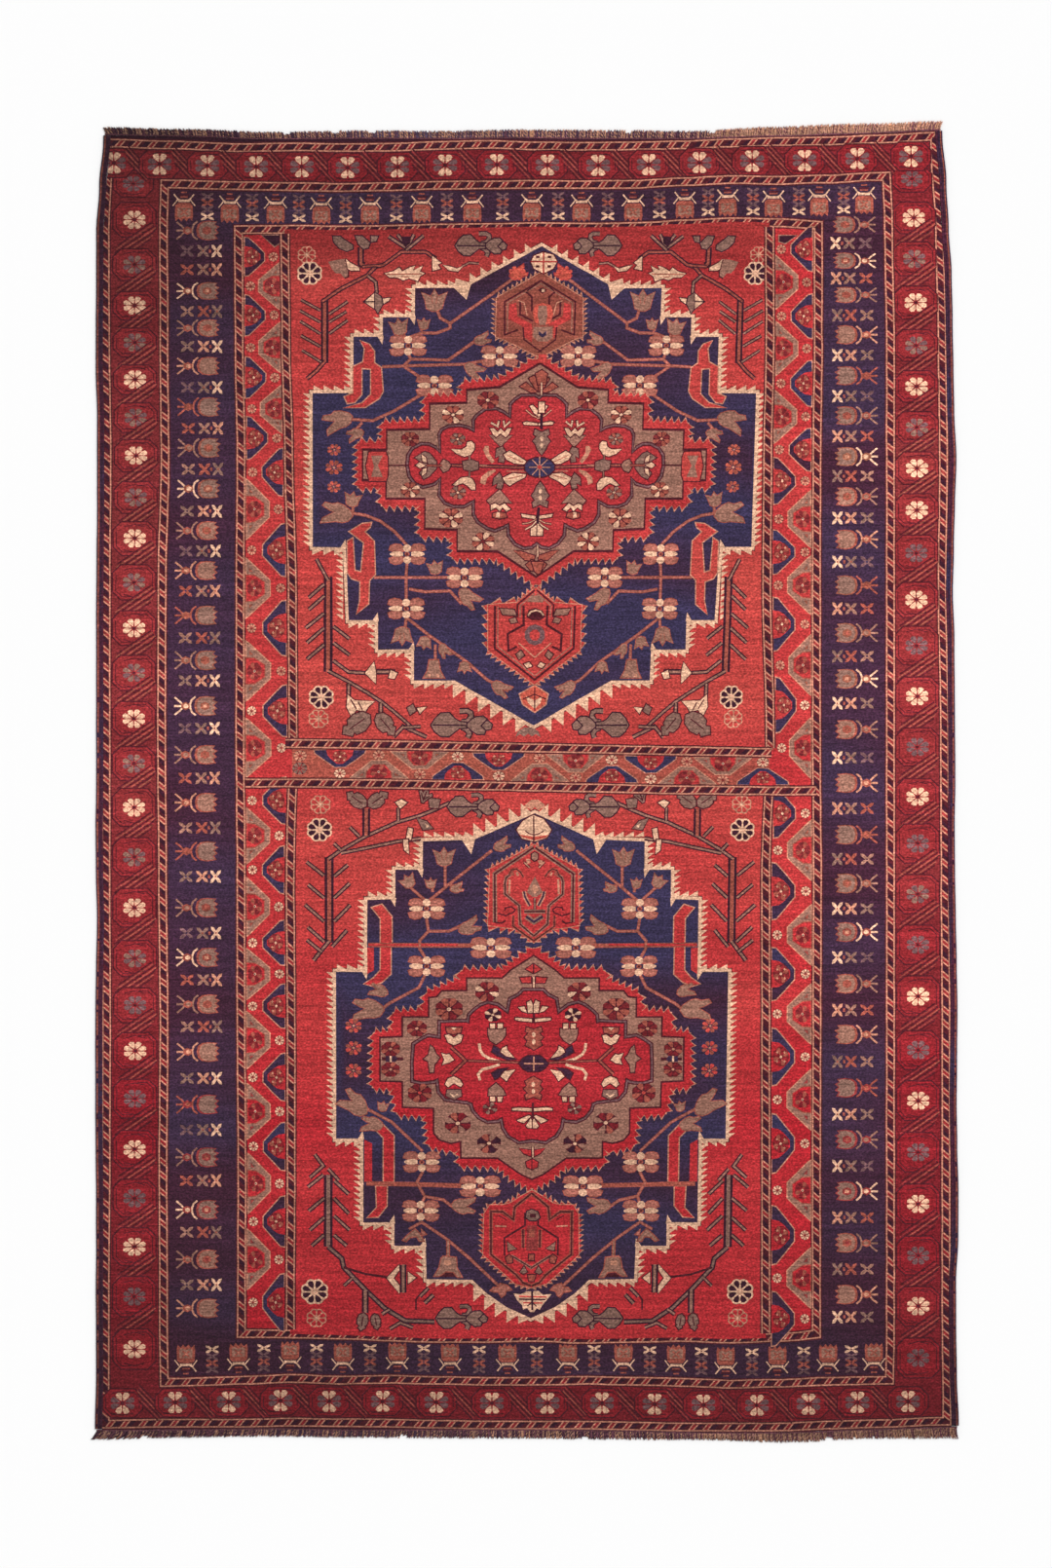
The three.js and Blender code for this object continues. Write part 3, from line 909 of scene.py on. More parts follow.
UPPER_INNER = [(556, 366), (512, 391), (475, 394), (475, 407), (437, 408), (437, 434), (393, 435), (393, 455),
               (368, 455), (368, 500), (392, 500), (392, 519), (432, 519), (432, 550), (465, 551), (465, 573),
               (510, 573), (551, 600)]
UPPER_LOBES = [(556, 411), (549, 408), (536, 408), (530, 412), (526, 416), (525, 431), (516, 425), (509, 422),
               (499, 422), (491, 428), (488, 432), (488, 445), (480, 441), (472, 439), (461, 440),
               (455, 443), (453, 447),
               (453, 467), (446, 461), (440, 458), (433, 458), (425, 462), (421, 468), (420, 478),
               (422, 488), (427, 495),
               (434, 498), (440, 497), (446, 495), (453, 489), (453, 508), (458, 515), (466, 518), (476, 518),
               (488, 512), (488, 528), (492, 535), (501, 541), (508, 543), (516, 540), (523, 536),
               (524, 549), (530, 557),
               (538, 561), (545, 560), (552, 556)]
inner_medallion(upper, UPPER_INNER, UPPER_LOBES)
for place in upper:
    for x, y, radius, dyes, heart in (
        (501, 411, 10.4, ("rust", "madder"), "cream"), (465, 426, 10.4, ("rust", "cream", "rust"), "cream"),
        (421, 451, 8.6, ("rust", "madder", "rust"), "peach"),
        (421, 503, 9, ("rust", "cream", "rust"), "peach"),
        (463, 532, 11.4, ("rust", "cream", "rust"), "cream"), (496, 556, 10.8, ("cream", "rust"), "madder"),
        (470, 451, 7.4, ("rust", "hatch"), "cream"), (470, 506, 7.8, ("rust", "hatch"), "cream"),
    ):
        cluster(place, x, y, radius, dyes, heart)
draw(upper, [
    ("field/wine", 0, 379, 464, 396, 464, 398, 470, 398, 488, 396, 494, 379, 494, 376, 479),
    ("taupe", 0, 381, 468, 393, 468, 388, 478, 393, 490, 381, 490, 384, 479),
    ("wine", 1.6, 398, 478, 420, 478),
    ("taupe/wine", 0, 502, 447, 508, 448, 514, 444, 519, 448, 526, 447, 514, 459),
    ("cream/wine", 0, 503, 440, 507, 440, 511, 444, 514, 440, 518, 444, 521, 440, 525, 440, 522, 446, 519,
     449, 514, 445,
     509, 449, 506, 446),
    ("wine", 3.4, 504, 434, 511, 438, 513, 431), ("wine", 3.4, 524, 433, 518, 438, 517, 431),
    ("cream", 1.8, 504, 434, 511, 438, 512, 432), ("cream", 1.8, 524, 433, 518, 438, 517, 432),
    ("taupe/wine", 0, 500, 514, 513, 503, 526, 517, 519, 516, 513, 519, 508, 516, 503, 518),
    ("cream/wine", 0, 504, 519, 508, 517, 513, 520, 518, 517, 524, 523, 520, 525, 516, 521, 513, 525, 509,
     521, 504, 524),
    ("rust/wine", 0, 506, 527, 512, 526, 519, 527, 520, 531, 513, 533, 506, 531),
    ("cream", 0, 510, 526, 513, 526, 513, 532, 509, 531),
    ("hatch/wine", 0, 510, 461, 516, 459, 519, 464, 517, 475, 512, 474, 513, 468, 509, 470),
    ("hatch/wine", 0, 507, 491, 513, 486, 517, 494, 515, 502, 510, 501, 511, 496, 506, 498),
    ("rust/wine_dark", 4, 463, 478, 541, 480), ("peach", 0.9, 492, 478, 500, 478),
    ("peach", 0.9, 520, 484, 540, 484),
    ("peach", 0, 498, 458, 502, 458, 502, 465, 508, 474, 505, 476, 499, 469, 496, 462),
    ("peach", 0, 508, 482, 509, 484, 500, 491, 498, 498, 493, 496, 494, 490, 501, 484),
    ("cream/wine", 0, 517, 467, 523, 463, 530, 467, 542, 475, 541, 477, 528, 476, 520, 472),
    ("cream/wine", 0, 516, 491, 526, 486, 540, 487, 539, 490, 529, 495, 523, 499, 519, 496),
    ("rust", 0.9, 521, 468, 537, 475), ("rust", 0.9, 521, 492, 537, 488),
    ("cream/wine", 0, 537, 434, 541, 433, 553, 435, 553, 437, 538, 436),
    ("cream/wine", 0, 535, 528, 550, 530, 550, 533, 536, 531),
    ("cream/wine", 0, 544, 417, 547, 416, 554, 424, 554, 429, 548, 424),
    ("peach/wine", 2.6, 540, 421, 547, 427, 555, 430),
    ("peach/wine", 2.6, 536, 538, 543, 537, 551, 533), ("cream/wine", 2.8, 539, 544, 546, 540, 551, 535),
    ("cream/wine", 0, 545, 543, 551, 539, 551, 550, 545, 550),
    ("hatch/wine", 0, 426, 470, 436, 464, 441, 466, 448, 474, 448, 481, 441, 489, 435, 492, 431, 486, 437,
     478, 432, 474),
    ("taupe/wine", 0, 451, 478, 455, 472, 460, 474, 463, 478, 460, 483, 455, 485),
    ("rust/wine", 3.2, 438, 478, 454, 478),
    ("cream/wine", 0, 427, 478, 431, 475, 437, 478, 431, 481),
    ("cream/wine", 0, 433, 467, 437, 470, 438, 475, 434, 474),
    ("cream/wine", 0, 433, 489, 437, 486, 438, 481, 434, 482),
    ("cream/wine", 0, 463, 461, 474, 462, 479, 459, 480, 454, 484, 453, 487, 456, 487, 461, 483, 467, 477,
     469, 469, 466),
    ("cream/wine", 0, 465, 498, 473, 491, 480, 490, 485, 492, 488, 497, 488, 503, 484, 503, 480, 499, 475,
     496, 468, 499),
    ("hatch/wine", 0, 475, 474, 484, 472, 491, 475, 491, 482, 484, 484, 476, 482),
    ("taupe/wine", 2.8, 482, 472, 482, 467),
    ("taupe/wine", 2.8, 482, 484, 482, 491),
    ("rust/wine", 0, 534, 397, 540, 393, 552, 403, 545, 403),
    ("rust/wine", 0, 543, 389, 548, 386, 554, 395, 554, 402, 550, 400),
    ("rust/wine", 0, 527, 565, 534, 566, 549, 571, 548, 576, 539, 575),
    ("rust/wine", 0, 540, 580, 546, 575, 550, 577, 550, 586, 545, 586),
])
for x, y, up in ((556, 454, 1), (554.5, 508, -1)):
    edged(at(x, y, 0, 1, up), [(-7, -13), (0, -10), (7, -13), (8, -8), (5, -6), (9, -1), (6, 3), (4, 8),
                               (0, 13),
                               (-4, 8), (-6, 3), (-9, -1), (-5, -6), (-8, -8)], "hatch", "wine", RIM)
    disc(straight, x, y - 3.6, 1.8, 2.8, "cream", 6)
    disc(straight, x, y + 3.6, 1.8, 2.8, "cream", 6)
draw([straight], [
    ("rust/wine", 0, 550, 384, 556, 380, 562, 384, 560, 395, 552, 395),
    ("cream/wine", 2.8, 556, 393, 556, 406),
    ("wine_dark", 3, 556, 424, 556, 441), ("cream/wine", 0, 553, 413, 559, 413, 559, 424, 553, 424),
    ("wine_dark", 3, 553, 521, 552, 538), ("cream", 1.8, 552.5, 538, 552.5, 550),
    ("cream/wine", 2.8, 552, 560, 552, 572),
    ("rust/wine", 0, 546, 577, 558, 577, 555, 587, 552, 590, 549, 587),
])
disc(straight, 554, 480, 17, 11.5, "wine", 12)
disc(straight, 554, 480, 15.5, 10, "navy", 12)
for turn in range(0, 180, 45):
    band(at(554, 480, turn, 1, 0.72), [(-11, 0), (11, 0)], 1.4, "peach")
disc(straight, 554, 480, 2.6, 2.2, "field", 6)

palmette(upper, [(557, 280), (510, 306), (509, 346), (518, 349), (556, 367)],
         ((5.6, 4.4), (5.2, 5), (5, 4), (5.6, 4.6)), "russet")
draw(upper, [
    ("wine", 1.8, 556, 288, 518, 310, 518, 344, 532, 339),
    ("taupe", 1.0, 556, 291, 521, 311, 521, 341),
    ("field", 0, 523, 313, 530, 311, 531, 325, 546, 333, 546, 352, 538, 346, 536, 335, 522, 328),
    ("wine", 2.0, 540, 300, 546, 305, 546, 320),
    ("wine", 2.0, 547, 330, 534, 323, 534, 310), ("peach", 1.0, 541, 324, 538, 311, 532, 309),
    ("wine", 1.6, 537, 336, 538, 349, 556, 362),
    ("wine", 1.4, 556, 288, 541, 299),
])
draw([straight], [
    ("coral", 0, 547, 322, 549, 314, 557, 311, 566, 314, 568, 323, 565, 332, 557, 335, 549, 331),
    ("taupe", 0, 553, 314, 561, 314, 562, 324, 560, 334, 554, 334, 552, 324),
    ("taupe/rust", 0, 548, 336, 567, 336, 567, 347, 562, 351, 552, 351, 547, 346),
    ("navy", 0, 553, 340, 557, 343, 561, 340, 561, 344, 557, 347, 553, 344),
    ("wine", 0, 552, 298, 557, 295, 562, 298, 557, 302), ("cream", 0, 556, 297, 559, 297, 559, 300, 556, 300),
    ("cream/wine", 0, 545, 269, 548, 263, 558, 259, 568, 262, 572, 269, 568, 276, 558, 281, 548, 276),
    ("field", 1.6, 558, 259, 558, 281), ("field", 1.6, 545, 269, 572, 269),
    ("field", 0, 553, 364, 561, 364, 562, 373, 552, 373),
])
for x, y in ((552, 264), (564, 264), (552, 274), (564, 274)):
    disc(straight, x, y, 2.6, 1.8, "wine", 4)

palmette(upper, [(549, 603), (530, 619), (501, 621), (501, 668), (549, 703)],
         ((6, 4), (14, 6), (9, 6), (6, 4.6)), "field")
draw(upper, [
    ("wine", 2.2, 508, 622, 508, 666, 549, 698), ("taupe", 1.0, 511, 623, 511, 664, 549, 694),
    ("wine", 1.8, 549, 606, 531, 621, 531, 634), ("taupe", 1.2, 549, 609, 534, 622, 534, 634),
    ("wine", 2.4, 537.5, 622, 537.5, 642, 521, 651, 522, 668, 531, 664),
    ("taupe/wine", 0, 513, 625, 528, 626, 530, 632, 516, 631),
    ("taupe/wine", 0, 523, 636, 529, 634, 531, 639, 525, 640),
    ("taupe/wine", 0, 530, 672, 535, 668, 538, 673, 533, 677),
    ("cream/wine", 0, 538, 682, 543, 680, 546, 684, 541, 686),
    ("peach", 1.2, 532, 660, 549, 675),
])
draw([straight], [("taupe", 0, 541, 618, 545, 612, 552, 611, 559, 615, 557, 619)])
disc(straight, 549, 652, 10.8, 10.8, "grey", 10)
disc(straight, 549, 652, 5.6, 6, "field", 8)
paint(straight, [(540, 634), (543, 626), (550, 624), (557, 627), (560, 634), (554, 637), (546, 637)], "wine")
band(straight, [(542, 632), (545, 628), (550, 626.5), (555, 628), (558, 632)], 1.6, "cream")
draw([straight], [
    ("coral/peach", 0, 549, 704, 562, 713, 560, 723, 549, 731, 537, 723, 534, 713),
    ("cream", 0, 540, 715, 548, 719, 549, 728, 542, 722),
    ("cream", 0, 557, 715, 550, 719, 549, 728, 555, 722),
    ("wine", 1.3, 549, 706, 549, 730), ("wine", 1.2, 537, 718, 549, 713, 561, 718),
])
for place in upper:
    tulip_bud(place, 532, 281, -25, 9.5, "coral", "field")

# The lower medallion: narrower and longer than the upper one, in the same wools. The weaver drew the same
# motifs afresh, so its steps, boxes, palmettes and vines are charted on their own.
LOWER_AXIS = ((549, 835), (545, 1353))
LOWER_STEPS = [(549, 835), (487, 862), (434, 864), (434, 893), (406, 893), (406, 923), (377, 924), (377, 998),
               (345, 998), (345, 1169), (373, 1169), (373, 1255), (405, 1255), (405, 1279), (437, 1279),
               (438, 1313), (485, 1314), (500, 1328), (520, 1342), (545, 1353)]
lower = medallion(
    LOWER_AXIS, 0.985, LOWER_STEPS,
    [(486, 1321, 15), (497, 1332, 13), (508, 1339, 13), (520, 1346, 12), (532, 1351, 8)]
    + [(486 + 12.2 * i, 861 - 5.0 * i, -16) for i in range(5)])
draw(lower, [
    ("cream", 0, 474, 862, 478, 854, 488, 861, 484, 877),
    ("field/peach", 0, 382, 932, 392, 929, 402, 941, 402, 968, 391, 968, 391, 943, 386, 937),
    ("field/peach", 0, 391, 972, 401, 972, 401, 1000, 392, 1008, 382, 1012, 374, 1010, 384, 1004, 391, 996),
    ("field", 0, 377, 973, 384, 973, 384, 996, 377, 1000),
    ("field/peach", 0, 382, 1152, 392, 1154, 404, 1166, 404, 1213, 394, 1213, 394, 1168, 386, 1160),
    ("field", 0, 374, 1170, 382, 1174, 382, 1213, 374, 1213),
    ("field/peach", 0, 386, 1218, 397, 1218, 397, 1238, 388, 1249, 377, 1250, 387, 1240),
    ("rust", 4.6, 378, 970, 490, 971), ("rust", 4.6, 376, 1215, 474, 1217), ("field", 2, 378, 970, 470, 970),
])
for place in lower:
    for path in (
        [(505, 873), (456, 912), (439, 926)], [(457, 888), (457, 911)], [(419, 909), (437, 925)],
        [(444, 908), (444, 916)], [(462, 909), (474, 911)],
        [(438, 943), (440, 956), (431, 966), (431, 974), (437, 984)],
        [(440, 956), (461, 956), (474, 950)], [(437, 1000), (430, 1014), (400, 1030), (392, 1036)],
        [(376, 1138), (402, 1152), (434, 1182)], [(434, 1203), (428, 1214), (436, 1228), (455, 1232),
                                                  (465, 1239)],
        [(436, 1228), (433, 1236)], [(432, 1254), (457, 1271), (482, 1292), (512, 1320)],
        [(460, 1272), (460, 1290)],
        [(432, 1255), (420, 1262)],
    ):
        vine(place, path)
    for x, y in ((438, 933), (504, 973), (438, 992), (433, 1193), (493, 1218), (432, 1243)):
        butterfly(place, x, y, 1.1 if x > 480 else 1.0)
    buds(place, ((456, 880, -90, 9.5), (515, 868, -25, 9), (419, 905, -120, 7), (442, 907, -90, 5),
                 (469, 912, -15, 7), (482, 952, -25, 12), (378, 1036, 180, 17), (389, 1017, 195, 10),
                 (364, 1133, 215, 17), (382, 1154, 185, 12), (393, 1136, -80, 5), (476, 1238, 0, 13)))
    for y in (1053, 1076, 1099):
        small_rosette(place, 363, y, 8.5)

draw(lower, [
    ("taupe/rust", 0, 414, 1273, 418, 1269, 426, 1262, 431, 1267, 435, 1274, 431, 1274, 428, 1269, 421,
     1270, 417, 1274),
    ("taupe/rust", 4, 460, 1274, 460, 1291), ("blush/rust", 0, 432, 1261, 437, 1267, 434, 1268),
    ("wine", 0, 449, 1311, 453, 1306, 466, 1306, 471, 1311),
    ("taupe/rust", 0, 453, 1292, 455, 1290, 468, 1291, 469, 1302, 474, 1311, 470, 1311, 466, 1306, 458,
     1305, 452, 1309,
     450, 1310, 446, 1310, 451, 1302), ("peach", 0, 456, 1294, 463, 1294, 463, 1299, 456, 1299),
    ("blush/rust", 0, 504, 1325, 507, 1322, 512, 1322, 514, 1318, 521, 1320, 525, 1324, 519, 1325, 518,
     1329, 515, 1331,
     512, 1326, 507, 1326),
])
LOWER_INNER = [(548, 974), (532, 984), (516, 996), (474, 997), (472, 1006), (438, 1020), (434, 1038),
               (404, 1040),
               (404, 1059), (384, 1061), (383, 1116), (404, 1117), (408, 1143), (438, 1145), (441, 1176),
               (462, 1181), (472, 1180), (472, 1196), (512, 1197), (528, 1211), (546, 1220)]
LOWER_BOXES = [(548, 982), (525, 997), (516, 1005), (480, 1005), (480, 1018), (454, 1018), (449, 1024),
               (441, 1025),
               (441, 1045), (414, 1045), (414, 1065), (391, 1066), (391, 1109), (414, 1110), (414, 1136),
               (446, 1137), (446, 1163), (452, 1170), (463, 1173), (474, 1171), (474, 1188), (511, 1188),
               (535, 1205), (547, 1210)]
LOWER_LOBES = [(548, 1018), (538, 1018), (533, 1023), (525, 1027), (522, 1042), (510, 1033),
               (501, 1031), (495, 1033), (488, 1038), (483, 1043), (482, 1051), (478, 1050), (453, 1051),
               (453, 1067),
               (440, 1065), (434, 1068), (426, 1073), (425, 1092), (425, 1108), (433, 1110), (445, 1109),
               (450, 1106), (452, 1120), (458, 1127), (480, 1130), (485, 1132), (487, 1139), (493, 1146),
               (501, 1150),
               (511, 1149), (516, 1146), (518, 1157), (523, 1165), (533, 1171), (547, 1169)]
inner_medallion(lower, LOWER_INNER, LOWER_LOBES, LOWER_BOXES)
for place in lower:
    for x, y, radius, dyes, heart in (
        (500, 1018, 11.4, ("cream", "madder", "rust", "madder"), "madder"),
        (461, 1036, 13, ("rust", "madder", "rust"), "cream"),
        (428, 1056, 9.6, ("rust", "madder", "madder"), "peach"),
        (401, 1077, 9, ("rust", "madder", "madder"), "peach"),
        (401, 1098, 9, ("rust", "madder", "madder"), "peach"),
        (431, 1122, 11.4, ("rust", "madder"), "coral"),
        (470, 1153, 12.4, ("madder", "taupe", "rust"), "cream"),
        (502, 1174, 11.4, ("taupe", "wine_dark", "rust"), "cream"),
        (506, 1042, 8, ("cream", "wine_dark"), "cream"), (503, 1138, 7, ("hatch", "madder"), "cream"),
    ):
        cluster(place, x, y, radius, dyes, heart)
draw(lower, [
    ("wine", 3.4, 392, 1087, 414, 1087), ("navy", 0, 396, 1084, 406, 1084, 408, 1087, 406, 1090, 396, 1090),
    ("cream", 0, 400, 1084, 402, 1084, 402, 1090, 400, 1090),
    ("cream/wine", 0, 457, 1063, 461, 1062, 466, 1066, 471, 1062, 475, 1063, 473, 1070, 466, 1073, 460, 1070),
    ("rust/wine", 0, 458, 1055, 474, 1055, 473, 1060, 466, 1062, 459, 1060),
    ("cream", 0, 463, 1055, 469, 1055, 466, 1058),
    ("cream/wine", 0, 457, 1113, 460, 1107, 466, 1105, 472, 1108, 475, 1113, 473, 1116, 466, 1112, 460, 1116),
    ("hatch/wine", 0, 459, 1119, 473, 1119, 474, 1125, 466, 1129, 458, 1125),
    ("cream", 1.6, 462, 1123, 466, 1126, 470, 1123),
    ("taupe/wine", 0, 501, 1056, 519, 1056, 519, 1063, 515, 1068, 509, 1072, 503, 1068, 501, 1062),
    ("taupe/wine", 0, 501, 1125, 502, 1118, 509, 1112, 516, 1118, 519, 1124, 514, 1126, 505, 1126),
    ("cream/wine", 0, 503, 1051, 508, 1051, 508, 1056, 503, 1056),
    ("cream/wine", 0, 511, 1051, 516, 1051, 516, 1056, 511, 1056),
    ("cream/wine", 0, 503, 1126, 508, 1126, 508, 1131, 503, 1131),
    ("cream/wine", 0, 511, 1126, 516, 1126, 515, 1131, 511, 1131),
    ("cream", 2.8, 492, 1071, 493, 1078, 496, 1083, 503, 1087, 513, 1090),
    ("cream", 2.8, 493, 1109, 491, 1103, 495, 1098, 503, 1096, 513, 1093),
    ("navy/wine", 0, 505, 1080, 507, 1074, 511, 1076, 520, 1084, 532, 1088, 521, 1088, 511, 1084),
    ("cream/wine", 0, 514, 1080, 516, 1076, 520, 1074, 521, 1078, 528, 1086, 519, 1084),
    ("navy/wine", 0, 505, 1102, 511, 1098, 523, 1096, 515, 1101, 513, 1105, 508, 1108),
    ("cream/wine", 0, 514, 1105, 518, 1100, 529, 1098, 523, 1105, 520, 1110),
    ("rust/wine", 3.2, 478, 1089, 534, 1091), ("rust/wine", 4.4, 463, 1075, 478, 1089, 463, 1103),
    ("cream/wine", 0, 453, 1081, 458, 1083, 461, 1082, 466, 1088, 461, 1091, 454, 1093, 456, 1088),
    ("taupe/wine", 0, 435, 1087, 440, 1083, 442, 1073, 445, 1076, 448, 1083, 451, 1086, 449, 1089, 446,
     1093, 445, 1101,
     441, 1101, 440, 1090),
    ("cream/wine", 0, 529, 1045, 534, 1045, 546, 1046, 546, 1049, 535, 1048, 529, 1047),
    ("cream/wine", 0, 541, 1029, 545, 1027, 547, 1032, 547, 1040, 542, 1040),
    ("cream/wine", 0, 532, 1034, 538, 1033, 541, 1040, 536, 1038),
    ("cream/wine", 0, 526, 1138, 533, 1137, 546, 1138, 546, 1141, 533, 1140, 526, 1140),
    ("cream/wine", 0, 531, 1150, 543, 1145, 545, 1146, 538, 1153, 532, 1151),
    ("cream/wine", 0, 540, 1156, 545, 1148, 546, 1150, 546, 1158, 542, 1158),
    ("field/wine", 0, 534, 1004, 545, 1003, 545, 1009, 536, 1009),
    ("field/wine", 0, 540, 995, 547, 990, 547, 999),
    ("field/wine", 0, 533, 1179, 545, 1181, 545, 1187, 538, 1184),
    ("field/wine", 0, 540, 1193, 546, 1190, 546, 1200, 541, 1198),
])
draw([straight], [
    ("wine", 2.4, 548, 1040, 548, 1050), ("wine", 2.4, 547, 1132, 547, 1148),
    ("cream/wine", 3.4, 548, 1003, 548, 1014), ("cream/wine", 3.4, 547, 1177, 547, 1188),
])
for x, y, up in ((548, 1066, 1), (547.5, 1117, -1)):
    edged(at(x, y, 0, 1.05, up * 0.9), [(-7, -13), (0, -10), (7, -13), (8, -8), (5, -6), (9, -1), (6, 3),
                                        (8, 8), (0, 13),
                                        (-8, 8), (-6, 3), (-9, -1), (-5, -6), (-8, -8)], "rust", "wine", RIM)
    disc(straight, x, y - 3.6, 1.9, 2.8, "cream", 6)
    disc(straight, x, y + 3.6, 1.9, 2.8, "cream", 6)
edged(straight, [(533, 1092), (537, 1087), (542, 1084), (554, 1084), (559, 1087), (563, 1092), (559, 1097),
                 (554, 1100),
                 (542, 1100), (537, 1097)], "navy", "wine", RIM)
band(straight, [(538, 1092), (558, 1092)], 1.4, "peach")
band(straight, [(548, 1085), (548, 1099)], 1.4, "peach")

palmette(lower, [(548, 867), (533, 876), (503, 892), (501, 950), (513, 952), (530, 954), (548, 968)],
         ((5.6, 4), (5.6, 4), (6.4, 5), (10, 6), (10, 6), (7, 4)), "field")
draw(lower, [
    ("wine/taupe", 4.4, 548, 870, 508, 897, 508, 947), ("wine", 1.5, 508, 947, 515, 948, 519, 945),
    ("wine/taupe", 3.4, 527, 896, 520, 901, 518.6, 906, 518.6, 918, 533, 930, 534, 949, 548, 961),
    ("peach", 2.2, 523.4, 903, 522.6, 918), ("wine/rust", 3, 527, 940, 527, 951, 548, 966),
    ("wine/rust", 2.6, 523, 898, 525, 893.5, 530, 892, 534, 895, 537.5, 900.5),
    ("rust", 0, 525, 896, 527.5, 895, 528, 899, 525, 899.5),
    ("peach", 0, 529.5, 896, 531.5, 895, 533, 899, 530.5, 899.5),
    ("wine", 1.5, 511, 938, 519, 940, 527, 937, 529, 934, 525, 931, 519, 932, 518, 935),
    ("indigo/peach", 4.4, 538, 915, 539, 921, 544, 930), ("peach/wine", 3, 538, 885, 544, 891),
])
draw([straight], [
    ("taupe", 0, 549, 900, 554, 909, 557, 916, 551, 921, 547, 921, 541, 916, 544, 909),
    ("peach", 0, 549, 906, 553, 914, 549, 918, 545, 914), ("taupe/wine", 3, 549, 922, 549, 934),
    ("wine/taupe", 4.2, 538, 936, 560, 936), ("indigo/taupe", 5.6, 540, 941, 548, 946.5, 557, 941),
    ("taupe/wine", 0, 546, 877, 549, 875, 552, 877, 552, 882, 549, 884, 546, 882),
    ("peach", 0, 540, 882, 544, 882, 545, 886, 541, 887),
    ("peach", 0, 552, 884, 556, 883, 558, 886, 554, 888),
    ("cream/wine", 0, 530, 852, 537, 843, 545, 838, 548, 837, 558, 841, 566, 852, 561, 860, 549, 864, 536,
     861),
    ("coral", 0, 533, 857, 548, 859, 563, 857, 560, 860, 549, 863, 537, 860),
    ("wine", 1.5, 548, 838, 548, 866), ("wine", 1.2, 539, 853, 543, 856, 548, 857, 553, 856, 558, 853),
])
palmette(lower, [(546, 1222), (535, 1228), (524, 1235), (516, 1237), (503, 1237), (497, 1246), (496, 1288),
                 (529, 1318),
                 (546, 1322)], ((0, 0), (7, 5), (6, 4), (6, 4), (6, 4), (5.4, 5), (5.4, 4), (6, 3.4)),
                 "field")
draw(lower, [
    ("wine/rust", 4, 546, 1225, 528.5, 1239, 527, 1252, 516, 1244, 504, 1244, 504, 1288, 530, 1309, 537,
     1317, 545, 1320),
    ("wine", 2, 539, 1245, 539, 1258, 518, 1271, 518, 1289), ("wine/taupe", 3, 525, 1289, 546, 1302),
    ("wine/rust", 4, 537, 1262, 537, 1281), ("taupe/wine", 0, 521, 1275, 530, 1282, 522, 1284),
    ("rust/wine", 0, 519, 1291, 523, 1288, 526, 1291, 526, 1296, 521, 1297),
    ("hatch/wine", 0, 534, 1306, 538, 1300, 541, 1306, 537, 1308),
    ("peach", 1.4, 508, 1258.5, 520, 1259), ("wine", 1.1, 512, 1248, 520, 1252),
])
draw([straight], [
    ("russet", 0, 541, 1258, 551, 1258, 552, 1284, 540, 1284),
    ("rust", 0, 543, 1262, 549, 1262, 549, 1270, 543, 1270),
    ("hatch/wine_dark", 0, 540, 1250, 541, 1244, 546, 1242, 552, 1244, 554, 1250, 550, 1253, 544, 1253),
    ("wine", 0, 544, 1246, 550, 1246, 550, 1250, 544, 1250),
    ("rust/wine", 0, 543, 1288, 548, 1288, 548, 1294, 543, 1294),
    ("rust/wine", 0, 542, 1309, 550, 1309, 548, 1315, 543, 1315),
    ("cream", 0, 527, 1328, 535, 1329, 540, 1326, 545, 1325.6, 546, 1328, 548, 1325.6, 553, 1325.6, 557,
     1329, 566, 1328.5,
     561, 1335, 556, 1341, 554, 1344.5, 551, 1343, 548, 1347, 544, 1347, 541, 1343, 537, 1344.5, 536, 1340,
     531, 1335),
    ("coral", 1.5, 533, 1331, 561, 1331.4), ("coral", 1.5, 537, 1337.4, 557, 1337.6),
    ("wine_dark", 2.2, 546.3, 1326, 546.3, 1345), ("wine_dark", 1.6, 533, 1333.8, 560, 1334.2),
    ("wine_dark", 1.2, 541, 1341, 546, 1336.6, 551, 1341),
])


# The corners of the panels: trunks with twigs, curved branches, leaves and eight-petalled flowers, in
# taupe and rust wool outlined in wine. They fill the red ground between the medallions' steps and the
# guard stripes, and the right ones are woven a little narrower.
upper_corners = mirrored(UPPER_AXIS, 0.925)
lower_corners = mirrored(LOWER_AXIS, 0.965)


def star_flower(place, x, y, radius, solid):
    """An eight-petalled rosette: dark with cream lines, or cream lines alone."""
    here = at(x, y, 0, 1, 0.92, place)
    wide = [(0.1, 0), (0.6, -0.36), (0.92, -0.36), (1.08, -0.12), (1.08, 0.12), (0.92, 0.36), (0.6, 0.36)]
    narrow = [(0.26, 0), (0.6, -0.2), (0.86, -0.22), (0.97, 0), (0.86, 0.22), (0.6, 0.2)]
    for i in range(8):
        paint(at(0, 0, 22.5 + 45 * i, radius, radius, here), wide, "cream" if solid else "peach")
    for i in range(8):
        paint(at(0, 0, 22.5 + 45 * i, radius, radius, here), narrow, "wine_dark" if solid else "field")
    disc(here, 0, 0, radius * 0.16, radius * 0.16, "cream", 6)


